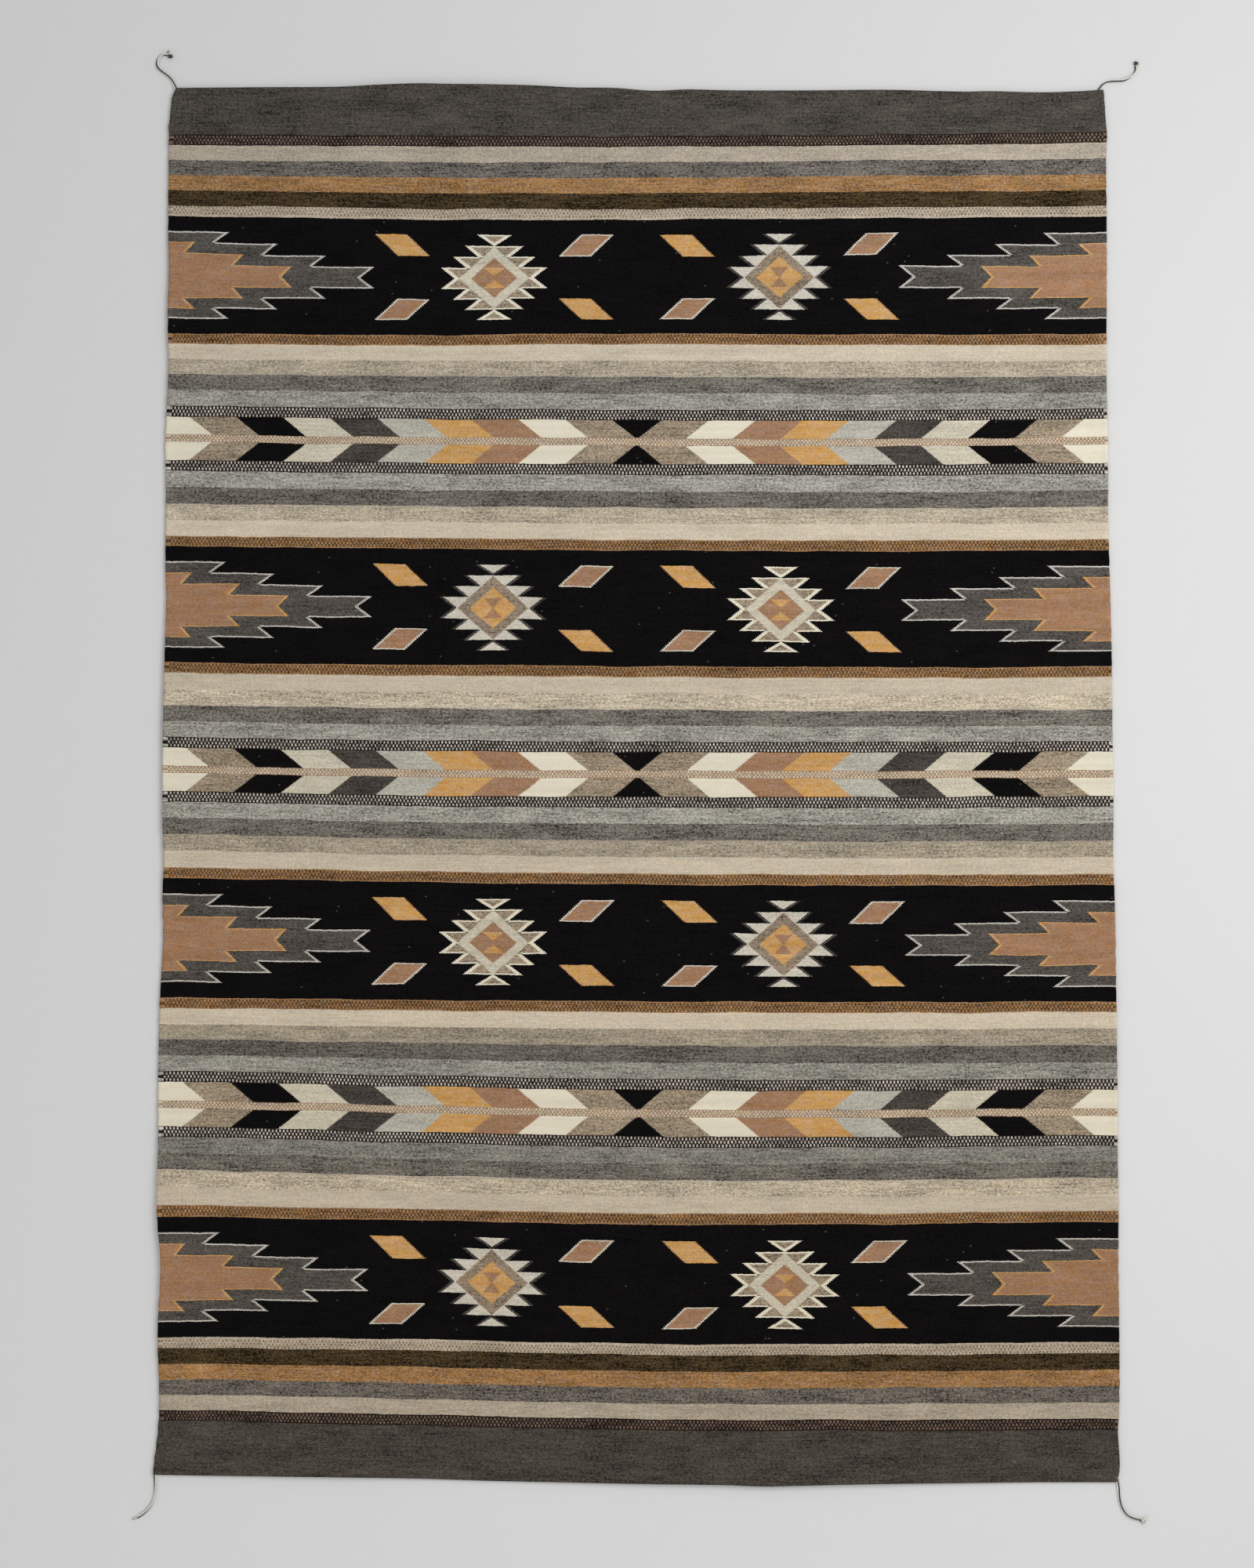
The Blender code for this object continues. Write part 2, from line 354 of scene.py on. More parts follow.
# %% Diamond group
TOOTH_ROW = 14.0
DIAMOND_HALF_WIDTH = 70.5
DIAMOND_STEP = 15.9
TOOTH_SLANT = 17.9
CROWN_SLANT_MORE = 4.9
OUTLINE_THIN = 1.7
CROWN_TOP_MORE = 20.0
DIAMOND_OUTLINE = (6.4, 5.2)
RING_HALF = (46.5, 41.5)
CORE_HALF = (31.0, 26.8)
HOURGLASS_LIGHT = (13.6, 18.5, -4.0)
HOURGLASS_SOFT = (13.0, 11.5, 0.6)


def stepped_rows(away, rows):
    """Row number, share of the row from its inner side, and whether there is such a row."""
    scaled = away / TOOTH_ROW
    row = math.floor(scaled)
    return row, scaled - row, row < rows - 0.5


def inside_lozenge(across, away, half):
    """Whether a folded point lies in a diamond of these half widths."""
    return across / half[0] + away / half[1] < 1.0


def hourglass(across, away, size):
    """Two small triangles that point at the middle."""
    tall, wide, waist = size
    return (away < tall) & (across < away * (wide / tall) + waist)


def make_diamond():
    """Yarn number over a ground yarn: Soft is 0 for the light-edged colouring and 1 for the other."""
    tree, given, out = group("Diamond", ("Across", "Along", "Soft", "Ground"), ("Yarn",))
    across = abs(given["Across"])
    away = abs(given["Along"])
    soft = given["Soft"]
    row, share, there = stepped_rows(away, 4)

    # The slanted side of this row's tooth, and where the next row begins on this row's level top
    tip = row * -DIAMOND_STEP + DIAMOND_HALF_WIDTH
    slant = (row > 2.5) * CROWN_SLANT_MORE + TOOTH_SLANT
    side = tip - slant * (1.0 - share)
    inside = there & (across < side)
    next_start = tip - (DIAMOND_STEP + TOOTH_SLANT) - (row > 1.5) * CROWN_TOP_MORE

    edge_width = blend(soft, *DIAMOND_OUTLINE)
    on_slant = across > side - edge_width
    on_top = (share > 1 - OUTLINE_THIN / TOOTH_ROW) & (across > next_start) & 1.0 - soft
    outline = inside & (on_slant | on_top)

    layers = (
        # mask, yarn of the light-edged colouring, yarn of the soft-edged one
        (inside, "taupe", "tooth grey"),
        (outline, "ivory", "edging grey"),
        (inside_lozenge(across, away, RING_HALF), "pale sand", "bead umber"),
        (inside_lozenge(across, away, CORE_HALF), "mauve", "ochre"),
    )
    yarn = given["Ground"]
    for mask, light_name, soft_name in layers:
        yarn = blend(mask, yarn, blend(soft, NUMBER[light_name], NUMBER[soft_name]))
    yarn = blend(hourglass(across, away, HOURGLASS_LIGHT) & 1.0 - soft, yarn, NUMBER["ochre"])
    yarn = blend(hourglass(across, away, HOURGLASS_SOFT) & soft, yarn, NUMBER["mauve"])
    wire(yarn, out["Yarn"])
    return tree


DIAMOND = make_diamond()
print("diamond:", 2 * DIAMOND_HALF_WIDTH, "mm wide and", 8 * TOOTH_ROW, "mm tall")

# %% [markdown]
# ## Stepped arrowheads and small lozenges
#
# From both selvages a stepped arrowhead points to the middle of each black band: a grey one with a pale
# outline, and a copper one inside it with an ochre edge. Four small lozenges stand round each diamond. Both
# shapes are built from rows of level and slanted edges, as the diamond is.

# %% Arrowhead group
ARROW_TIP = 348.5
ARROW_STEP = 64.5
ARROW_SLANT = 19.0
ARROW_OUTLINE = 3.9
INNER_TIP = 458.0
INNER_SLANT = 14.0
INNER_EDGE = 3.6
INNER_THIN = 1.0
OPEN_END = 1000.0


def make_arrowhead():
    """Yarn number over a ground yarn, from the distance to the middle and to the band's own middle line."""
    tree, given, out = group("Arrowhead", ("Across", "Along", "Ground"), ("Yarn",))
    across = abs(given["Across"])
    away = abs(given["Along"])
    yarn = given["Ground"]
    shapes = (
        # rows, first tip, slant, edge on the slants, edge on the levels, edge yarn, fill yarn
        (4, ARROW_TIP, ARROW_SLANT, ARROW_OUTLINE, OUTLINE_THIN, "outline grey", "arrow grey"),
        (3, INNER_TIP, INNER_SLANT, INNER_EDGE, INNER_THIN, "ochre", "copper"),
    )
    for rows, first_tip, slant, edge, level_edge, edge_name, fill_name in shapes:
        row, share, there = stepped_rows(away, rows)
        tip = row * ARROW_STEP + first_tip
        side = (1.0 - share) * slant + tip
        inside = there & (across > side)
        on_slant = across < side + edge
        # The last row's level top is open as far as the selvage
        next_start = tip + (row > rows - 1.5) * OPEN_END + (ARROW_STEP + slant)
        on_top = (share > 1 - level_edge / TOOTH_ROW) & (across < next_start)
        yarn = blend(inside, yarn, NUMBER[fill_name])
        yarn = blend(inside & (on_slant | on_top), yarn, NUMBER[edge_name])
    wire(yarn, out["Yarn"])
    return tree


ARROWHEAD = make_arrowhead()
print("arrowheads reach to", ARROW_TIP, "mm from the middle")

# %% Lozenge group
LOZENGE_LOW, LOZENGE_HIGH = 28.0, 56.0
LOZENGE_NEAR, LOZENGE_FAR = 85.8, 128.8
LOZENGE_LEAN = 30.0
LOZENGE_EDGE = 1.2
MAUVE_EDGE_MORE = 2.0
MAUVE_THIN = 1.4


def make_lozenge():
    """Yarn number over a ground yarn: four leaning lozenges round a diamond's middle."""
    tree, given, out = group("Lozenge", ("Across", "Along", "Ground"), ("Yarn",))
    across = abs(given["Across"])
    away = abs(given["Along"])
    share = (away - LOZENGE_LOW) / (LOZENGE_HIGH - LOZENGE_LOW)
    near = share * LOZENGE_LEAN + LOZENGE_NEAR
    far = share * LOZENGE_LEAN + LOZENGE_FAR
    mauve = given["Across"] * given["Along"] > 0.0

    def within(side_inset, level_inset):
        """Inside the lozenge by these insets from its slanted and its level edges."""
        in_height = (away > level_inset + LOZENGE_LOW) & (away < LOZENGE_HIGH - level_inset)
        return in_height & (across > near + side_inset) & (across < far - side_inset)

    edge = blend(mauve, NUMBER["bead ochre"], NUMBER["tooth grey"])
    fill = blend(mauve, NUMBER["ochre"], NUMBER["mauve"])
    yarn = blend(within(0.0, 0.0), given["Ground"], edge)
    core = within(mauve * MAUVE_EDGE_MORE + LOZENGE_EDGE, mauve * MAUVE_THIN)
    wire(blend(core, yarn, fill), out["Yarn"])
    return tree


LOZENGE = make_lozenge()
print("lozenges lean by", LOZENGE_LEAN, "mm")

# %% [markdown]
# ## The chart of the whole blanket
#
# The bands repeat every 441 mm, and each repeat is mirrored about its black band. So the chart folds the
# length up: it measures the distance to the nearest black band's middle and counts the stripe edges on the
# way. Past the outermost black bands the same widths go on in other yarns, up to the plain charcoal ends.

# %% Stripe chart
REPEAT = 441.4
LAST_BAND = 1.5 * REPEAT
DIAMOND_FROM_MIDDLE = 189.5
MIDDLE_SHIFT = 0.6
STRIPES = (
    # outward from a black band's middle: width in mm, yarn between the black bands, yarn towards the ends
    (76.0, "black", "black"),
    (14.2, "bead ochre", "bead cream"),
    (21.7, "cream", "brown heather"),
    (21.5, "beige", "ochre heather"),
    (21.3, "dark grey", "steel grey"),
    (20.9, "mid grey", "sand"),
    (14.4, "black", "bead brown"),
    (80.0, "ivory", "charcoal"),
)
STRIPE_EDGES = [sum(row[0] for row in STRIPES[: n + 1]) for n in range(len(STRIPES) - 1)]
LOTS = (
    # brightness of the cream, beige, dark grey and mid grey stripes, a row for each half repeat from the top
    (1.00, 0.96, 1.00, 0.96),
    (1.04, 1.07, 0.89, 1.05),
    (0.95, 1.22, 1.02, 1.03),
    (0.97, 0.84, 0.96, 1.08),
    (1.03, 0.80, 0.82, 0.91),
    (0.94, 1.15, 0.94, 0.73),
)
BRIGHTEST_LOT = 1.25
FIRST_LOT_STRIPE = 2.0
CHEVRON_YARNS = (
    "black", "taupe", "ivory", "mauve", "ochre", "mist", "slate", "pale sand", "black", "taupe", "ivory",
)
CHEVRON_PITCH = 62.2
CHEVRON_START = 2.6
PICK_LINE = 2.2
CHEVRON_LEAN = 29.7
PANEL_HALF = REPEAT / 2 - STRIPE_EDGES[-1]
SHAFT_HALF = 5.2
OCHRE_LINE = 1.4


def beaded(depth, given, ground, dots, line, row_height, fullness):
    """Yarn number of a beaded stripe."""
    beads = use_group(
        BEADING, Depth=depth, Line=line, Row_height=row_height, Fullness=fullness,
        Warp=given["Warp"], In_warp=given["In warp"], From_middle=abs(given["Across"]),
    )["Beads"]
    return blend(beads, NUMBER[ground], NUMBER[dots])


def chevron_yarn(across, from_centre):
    """Yarn number in a chevron panel, whose colour edges lean outward as they leave the shaft."""
    share = (from_centre - SHAFT_HALF) / (PANEL_HALF - SHAFT_HALF)
    straight = across - share * CHEVRON_LEAN - CHEVRON_START
    index = math.floor(straight / CHEVRON_PITCH + 1.0)
    index = calc("MINIMUM", calc("MAXIMUM", index, 0.0), float(len(CHEVRON_YARNS) - 1))
    return pick_yarn(index, CHEVRON_YARNS)


def motif_yarn(given, centred):
    """Yarn number in a black band: diamonds, lozenges and arrowheads over black."""
    band = math.floor(given["Along"] / REPEAT)
    from_line = given["Along"] - (band + 0.5) * REPEAT
    right_side = centred > 0.0
    # The two colourings trade places from side to side and from band to band
    soft = (band + 1.0 + right_side) % 2.0
    from_diamond = centred - (right_side * 2.0 - 1.0) * DIAMOND_FROM_MIDDLE
    yarn = NUMBER["black"]
    yarn = use_group(DIAMOND, Across=from_diamond, Along=from_line, Soft=soft, Ground=yarn)["Yarn"]
    yarn = use_group(LOZENGE, Across=from_diamond, Along=from_line, Ground=yarn)["Yarn"]
    return use_group(ARROWHEAD, Across=given["Across"], Along=from_line, Ground=yarn)["Yarn"]


def make_chart():
    """Yarn number at a place along the middle of a warp, and how bright its lot is."""
    tree, given, out = group("Blanket chart", ("Across", "Along", "Warp", "In warp"), ("Yarn", "Tone"))

    # Distance from the nearest black band's middle line, open past the outermost ones
    from_middle_weft = abs(given["Along"])
    away = abs(calc("FRACT", from_middle_weft / REPEAT) - 0.5) * REPEAT
    away = calc("MAXIMUM", away, from_middle_weft - LAST_BAND)
    towards_end = from_middle_weft > LAST_BAND
    stripe = sum(away > edge for edge in STRIPE_EDGES)
    number = towards_end * float(len(STRIPES)) + stripe
    yarn = pick_yarn(number, [row[1] for row in STRIPES] + [row[2] for row in STRIPES])

    # Each plain stripe has the brightness of its own lot
    half = math.floor((LAST_BAND - given["Along"]) / (REPEAT / 2))
    column = stripe - FIRST_LOT_STRIPE
    in_lots = calc("COMPARE", column, 1.5, 1.6) & 1.0 - towards_end
    lots = [tone / BRIGHTEST_LOT for row in LOTS for tone in row]
    tone = ramp_number(half * float(len(LOTS[0])) + column, lots) * BRIGHTEST_LOT
    wire(blend(in_lots, 1.0, tone), out["Tone"])

    def in_stripe(index, end_side):
        """Mask of one numbered stripe, between the black bands or towards the ends."""
        wanted = index + (len(STRIPES) if end_side else 0)
        return calc("COMPARE", number, float(wanted), 0.5)

    # Beaded stripes take the place of the plain yarn that the list gives
    near_depth = away - STRIPE_EDGES[0]
    far_depth = away - STRIPE_EDGES[5]
    beaded_stripes = (
        # stripe, towards the ends, depth, ground yarn, bead yarn, plain line, row height, fullness
        (1, False, near_depth, "bead olive", "bead ochre", 1.2, 3.9, 1.25),
        (6, False, far_depth, "bead brown", "bead white", 0.7, 4.35, 0.90),
        (1, True, near_depth, "bead cream", "bead umber", 2.8, 3.8, 1.0),
        (6, True, far_depth, "bead brown", "bead pink", 1.4, 3.9, 0.95),
    )
    for index, end_side, depth, *beading in beaded_stripes:
        yarn = blend(in_stripe(index, end_side), yarn, beaded(depth, given, *beading))

    # The ochre beading has a plain ochre line along both of its edges
    ochre_line = (near_depth < OCHRE_LINE) | (near_depth > STRIPES[1][0] - OCHRE_LINE)
    yarn = blend(in_stripe(1, False) & ochre_line, yarn, NUMBER["ochre line"])

    # The last wefts of the beige stripe are of paler wool
    pick_line = in_stripe(3, False) & (away > STRIPE_EDGES[3] - PICK_LINE)
    yarn = blend(pick_line, yarn, NUMBER["sand"])

    # Chevron panels and their beaded shaft
    centred = given["Across"] - MIDDLE_SHIFT
    from_centre = REPEAT / 2 - away
    panel = in_stripe(7, False)
    yarn = blend(panel, yarn, chevron_yarn(abs(centred), from_centre))
    repeats = given["Along"] / REPEAT
    shaft_depth = (repeats - round(repeats)) * REPEAT + SHAFT_HALF
    shaft_yarn = beaded(shaft_depth, given, "bead rose", "bead bone", 0.8, 2.95, 1.0)
    yarn = blend(panel & (from_centre < SHAFT_HALF), yarn, shaft_yarn)

    in_black = away < STRIPE_EDGES[0]
    wire(blend(in_black, yarn, motif_yarn(given, centred)), out["Yarn"])
    return tree


CHART = make_chart()
print("stripe edges from a black band's middle:", [round(edge, 1) for edge in STRIPE_EDGES])

# %% [markdown]
# ## Hand-spun wool
#
# A real stripe is never one flat tone. Fibres of other shades show as flecks along the weft, each bead of
# yarn differs a little from the next, and a new dye lot or a thicker skein makes faint bars, which weavers
# call abrash. This group gives any yarn colour those changes, and paints shade into the furrows between
# the ribs. The cords use it too.

# %% Wool group
def noise_value(across, along, detail=1.0):
    """Smooth noise over two coordinates, centred on zero."""
    place = result("CombineXYZ", (across, along))
    inputs = {"Vector": place, "Scale": 1.0, "Detail": detail}
    return Value(add_node(place.socket.id_data, "TexNoise", inputs, noise_dimensions="2D").outputs[0]) - 0.5


def random_value(first, second):
    """A random share for each pair of whole numbers, centred on zero."""
    place = result("CombineXYZ", (first, second))
    return result("TexWhiteNoise", (place,), noise_dimensions="2D") - 0.5


WOOL_NOISES = (
    # grain across and along in mm, strength: flecks, streaks and patches
    (3.4, 2.0, 5.5),
    (34.0, 2.4, 3.6),
    (75.0, 22.0, 2.8),
)
BEAD_CHANGE = 2.2
ABRASH_GRAIN = (420.0, 9.0)
ABRASH_CHANGE = 0.2
HAIR_GRAIN = (7.5, 1.6)
HAIR_FROM = 0.16
HAIR_CHANGE = 14.0
LINT_FROM = 0.4990
LINT_LIGHT = 0.045
DARKEST_SHARE = 0.15
# Painted shade in the furrows between the ribs: how much it changes with height, and its darkest share
FURROW_SHADE_DEPTH = 0.1
FURROW_SHADE_FLOOR = 0.93
HUE_GRAIN = (14.0, 5.0)
HUE_CHANGE = 0.02
SATURATION_GRAIN = (19.0, 7.0)
SATURATION_CHANGE = 0.35


def make_wool():
    """A yarn's colour with flecks, bead to bead changes, streaks, abrash and painted shade in the furrows."""
    tree, given, out = group(
        "Hand-spun wool", ("Colour", "Fleck", "Across", "Along", "Warp", "Bead", "Height"), ("Colour",)
    )

    def grain(across, along):
        """Noise of a grain size in mm."""
        return noise_value(given["Across"] / across, given["Along"] / along)

    change = random_value(given["Warp"], given["Bead"]) * BEAD_CHANGE
    for across, along, strength in WOOL_NOISES:
        change = grain(across, along) * strength + change
    # Sparse paler hairs, and lint that shows only on dark yarn
    change = calc("MAXIMUM", grain(*HAIR_GRAIN) - HAIR_FROM, 0.0) * HAIR_CHANGE + change
    change = change * given["Fleck"] + grain(*ABRASH_GRAIN) * ABRASH_CHANGE
    speck = random_value(given["Bead"] + 0.5, given["Warp"] + 0.5)
    lint = (speck > LINT_FROM) * LINT_LIGHT
    # Painted shade: the colour is darker in the furrows between the ribs, where light sinks in
    furrow_shade = given["Height"] * FURROW_SHADE_DEPTH + FURROW_SHADE_FLOOR
    tinted = add_node(tree, "HueSaturation", {
        "Hue": grain(*HUE_GRAIN) * HUE_CHANGE + 0.5,
        "Saturation": grain(*SATURATION_GRAIN) * SATURATION_CHANGE + 1.0,
        "Value": calc("MAXIMUM", change + 1.0, DARKEST_SHARE) * furrow_shade,
        "Color": given["Colour"],
    })
    dust = result("CombineXYZ", (lint, lint, lint))
    wire(result("VectorMath", (tinted.outputs[0], dust), operation="ADD"), out["Colour"])
    return tree


WOOL = make_wool()
print("wool group ready")

# %% [markdown]
# ## The woven cloth's material
#
# The material reads a UV map named Weave, in which a unit is a metre of cloth, and a slow noise adds the
# waves that beating by hand leaves. The chart gives the yarn, the wool group its colour, and the bead's
# height goes to a Bump node. Wool scatters light from its fuzz, so the shader has a little sheen and hardly
# any gloss.

# %% Cloth material
LENGTH = 1.830
WIDTH = 1.245
# Painted light: how much brighter the wool is painted towards the top in red, green and blue, and the extra
# towards the top right
PAINTED_LIGHT_TREND = (0.05, 0.07, 0.10)
PAINTED_LIGHT_SKEW = 0.05
FUZZ_GRAIN = (0.5, 0.3)
FUZZ_DETAIL = 2.0
FUZZ_HEIGHT = 0.5
WEFT_WAVES = (
    # grain across and along in mm, how far the wefts move in mm
    (95.0, 60.0, 3.2),
    (17.0, 26.0, 0.9),
    (4.0, 6.0, 1.1),
)


def start_material(name, roughness, specular, sheen=0.0):
    """A material with its tree and its shader."""
    material = bpy.data.materials.new(name)
    material.use_nodes = True
    shader = material.node_tree.nodes["Principled BSDF"]
    shader.inputs["Roughness"].default_value = roughness
    shader.inputs["Specular IOR Level"].default_value = specular
    shader.inputs["Sheen Weight"].default_value = sheen
    return material, material.node_tree, shader


def map_coordinates(tree, name):
    """The two coordinates of a UV map."""
    uv_map = add_node(tree, "UVMap", {}, uv_map=name)
    split = add_node(tree, "SeparateXYZ", {0: uv_map.outputs[0]})
    return Value(split.outputs[0]), Value(split.outputs[1])


def add_bump(shader, height, strength, distance):
    """Bump the shader's normal by a height."""
    inputs = {"Height": height, "Strength": strength, "Distance": distance}
    wire(add_node(shader.id_data, "Bump", inputs).outputs[0], shader.inputs["Normal"])


def make_cloth_material():
    """Tapestry-woven wool in the blanket's chart."""
    material, tree, shader = start_material("woven_wool", roughness=0.92, specular=0.05, sheen=0.008)
    across, straight = [metres * 1000.0 for metres in map_coordinates(tree, "Weave")]

    # Waves from beating by hand, from slow ones to tiny ones
    along = straight
    for grain_across, grain_along, reach in WEFT_WAVES:
        along = noise_value(across / grain_across, straight / grain_along) * reach + along

    grid = use_group(WEAVE_GRID, Across=across, Along=along)
    chart = use_group(CHART, Across=grid["Across"], Along=along, Warp=grid["Warp"], In_warp=grid["In warp"])
    colour = ramp(chart["Yarn"], [linear(row[1]) for row in YARNS])
    fleck = ramp_number(chart["Yarn"], [row[2] for row in YARNS])

    # Painted light and shade: the wool is painted brighter towards the top, most at the top right, and darker
    # and warmer towards the foot
    up = straight / (1000 * LENGTH / 2)
    painted_light_skew = up * (across / (1000 * WIDTH / 2)) * PAINTED_LIGHT_SKEW
    lot_tone_and_painted_light = result("CombineXYZ", [(up * amount + 1.0 + painted_light_skew) * chart["Tone"] for amount in PAINTED_LIGHT_TREND])
    lot_toned_and_lit_colour = result("VectorMath", (colour, lot_tone_and_painted_light), operation="MULTIPLY")
    wool = use_group(
        WOOL, Colour=lot_toned_and_lit_colour, Fleck=fleck, Across=across, Along=along,
        Warp=grid["Warp"], Bead=grid["Bead"], Height=grid["Height"],
    )
    wire(wool["Colour"], shader.inputs["Base Color"])
    fuzz = noise_value(across / FUZZ_GRAIN[0], along / FUZZ_GRAIN[1], FUZZ_DETAIL)
    add_bump(shader, fuzz * FUZZ_HEIGHT + grid["Height"], 0.35, 0.0005)
    return material


CLOTH_MATERIAL = make_cloth_material()
print("cloth material has", len(CLOTH_MATERIAL.node_tree.nodes), "nodes of its own")

# %% [markdown]
# ## The cloth's outline
#
# Nothing hand-woven is a true rectangle: the selvages draw in where a band was beaten tightly, and both
# ends bow. Each edge is a straight line plus a short table of how far it stands out, read as a smooth
# curve. The tables are those of the solid model, so the cloth fits it.

# %% Edge tables
THICKNESS = 0.003
LEFT_EDGE = (
    # place along the edge, how far it stands out, in mm
    (-915, 2.1), (-899, 1.0), (-863, -2.9), (-827, -4.9), (-756, -2.5), (-719, -2.1), (-666, -4.8),
    (-634, -4.6), (-575, 0.5), (-484, -0.4), (-392, 0.5), (-294, -0.8), (-240, -3.5), (-208, -4.1),
    (-163, -2.6), (-116, -4.3), (-77, -2.3), (-23, -1.7), (52, -1.5), (139, -2.5), (228, -4.1), (273, -2.5),
    (361, -2.2), (443, -0.9), (537, -4.5), (579, -3.0), (626, -2.4), (668, -3.3), (727, -1.8), (822, -1.7),
    (864, -1.3), (881, -3.3), (898, -4.6), (915, -10.1),
)
RIGHT_EDGE = (
    (-915, -1.8), (-899, 1.9), (-887, 2.0), (-847, -0.1), (-827, 1.7), (-756, 3.1), (-666, 2.9), (-634, 2.6),
    (-575, 3.9), (-484, 3.4), (-392, 3.8), (-300, 3.5), (-163, 2.9), (-116, 1.5), (-33, 2.6), (69, 2.2),
    (162, 2.2), (273, 0.4), (349, -0.8), (406, -0.2), (537, -1.0), (632, 0.2), (727, 1.3), (822, 1.3),
    (855, 2.7), (872, 1.6), (898, 0.1), (915, -1.1),
)
TOP_EDGE = (
    (-615, -0.8), (-504, 0.1), (-400, 0.4), (-347, 3.0), (-295, 4.5), (-259, 3.8), (-191, 3.3), (-139, 2.1),
    (-86, -0.4), (-34, -0.8), (18, -4.6), (63, -2.9), (121, -4.1), (226, -4.2), (331, -3.4), (435, -5.8),
    (472, -5.2), (539, -6.8), (591, -5.2), (622, -3.1),
)
BOTTOM_EDGE = (
    (-626, -8.0), (-591, -7.1), (-490, -5.8), (-388, -4.7), (-287, -3.0), (-186, 0.1), (-84, 2.1),
    (17, 3.9), (118, 4.9), (169, 6.6), (220, 5.5), (321, 3.7), (422, 2.8), (523, 1.8), (622, 1.8),
)


def smooth_value(table, place):
    """Read a smooth curve through (place, value) rows, held level past its ends."""
    if place <= table[0][0]:
        return table[0][1]
    if place >= table[-1][0]:
        return table[-1][1]
    index = next(i for i in range(len(table) - 1) if table[i + 1][0] >= place)
    (x0, y0), (x1, y1) = table[index], table[index + 1]
    before = table[max(index - 1, 0)]
    after = table[min(index + 2, len(table) - 1)]
    slope0 = (y1 - before[1]) / (x1 - before[0])
    slope1 = (after[1] - y0) / (after[0] - x0)
    span = x1 - x0
    t = (place - x0) / span
    rise = (2 * t**3 - 3 * t**2 + 1) * y0 + (3 * t**2 - 2 * t**3) * y1
    return rise + span * ((t**3 - 2 * t**2 + t) * slope0 + (t**3 - t**2) * slope1)


edge_rows = LEFT_EDGE + RIGHT_EDGE + TOP_EDGE + BOTTOM_EDGE
print("edges wander by up to", max(abs(stands_out) for _, stands_out in edge_rows), "mm")

# %% [markdown]
# ## How the wefts wander
#
# The weft lines rise towards the left selvage, the more so near the foot end, because the loom's beater
# leaned. A first table gives that rise at five places across the width. A second one gives the bands' own
# creep along the length, because no weaver spaces them evenly. Both are read smoothly, once for each point
# of the cloth, and shift the Weave map.

# %% Weft wander
WANDER_PLACES = (-600, -300, 0, 300, 600)
WEFT_RISE = (
    # place along the length, then the rise at the five places across, all in mm
    (840, (1.0, -0.5, -1.0, 0.6, 4.2)),
    (737, (4.5, 0.0, -0.5, 2.0, 2.6)),
    (586, (-0.5, -2.1, -0.5, -2.0, -0.9)),
    (506, (4.6, 1.3, -0.2, -1.0, 1.0)),
    (396, (4.6, 0.9, -0.9, -1.8, 0.5)),
    (300, (4.8, 1.9, -0.5, -1.6, -0.3)),
    (143, (5.2, 2.2, -0.1, -1.5, -0.5)),
    (0, (6.7, 1.2, -0.3, -1.0, 0.5)),
    (-144, (7.5, 2.2, -1.1, -2.7, -1.5)),
    (-296, (4.5, 1.6, -0.5, -1.5, -0.5)),
    (-353, (7.4, 2.6, -1.2, -2.0, -0.8)),
    (-486, (12.5, 4.6, -1.5, -2.3, 0.5)),
    (-586, (9.6, 4.6, -0.9, -0.5, 2.5)),
    (-739, (9.6, 5.9, -0.1, 0.0, 2.5)),
    (-840, (11.8, 5.4, -1.0, -2.0, -0.5)),
)
BAND_CREEP = (
    # place along the length, how far the bands lie below their even spacing, in mm
    (-845, -3.0), (-790, 0.1), (-745, 1.6), (-662, 2.1), (-579, -0.9), (-520, -1.2), (-479, -1.6),
    (-441, -0.4), (-404, 0.5), (-354, -0.6), (-304, 0.0), (-221, 0.8), (-138, -1.0), (-80, -1.0),
    (-38, -1.8), (0, 0.1), (38, 2.2), (87, 2.8), (138, 3.0), (221, 3.1), (304, 1.0), (365, 1.5),
    (404, -0.1), (441, 1.6), (479, 4.1), (529, 2.5), (579, 1.9), (662, 2.6), (745, 0.9), (795, 1.9),
    (845, 1.9),
)
SPREAD_TO_FOOT = 0.0000051
FOOT_SHIFT = 1.6
FOOT_BLEND = 300
SELVAGE_ZONE = 60.0


def warp_place(x, y, across):
    """Which warp's place a point has, in mm from the middle, so that motifs stand as in the real piece."""
    foot = min(max(0.5 - y / FOOT_BLEND, 0.0), 1.0)
    straight = x - FOOT_SHIFT * foot + SPREAD_TO_FOOT * x * y
    from_selvage = WIDTH / MM / 2 - abs(across)
    inner = min(max(from_selvage / SELVAGE_ZONE, 0.0), 1.0)
    return across + (straight - across) * inner**2 * (3 - 2 * inner)


def weft_rise(x, y):
    """How far a weft that should lie level has risen at this place, in mm."""
    by_place = []
    for column, place in enumerate(WANDER_PLACES):
        rows = [(along, rises[column]) for along, rises in reversed(WEFT_RISE)]
        by_place.append((place, smooth_value(rows, y)))
    return smooth_value(by_place, x) - smooth_value(BAND_CREEP, y)


print("wefts rise by", round(weft_rise(-600, -486), 1), "mm at the left selvage near the foot end")
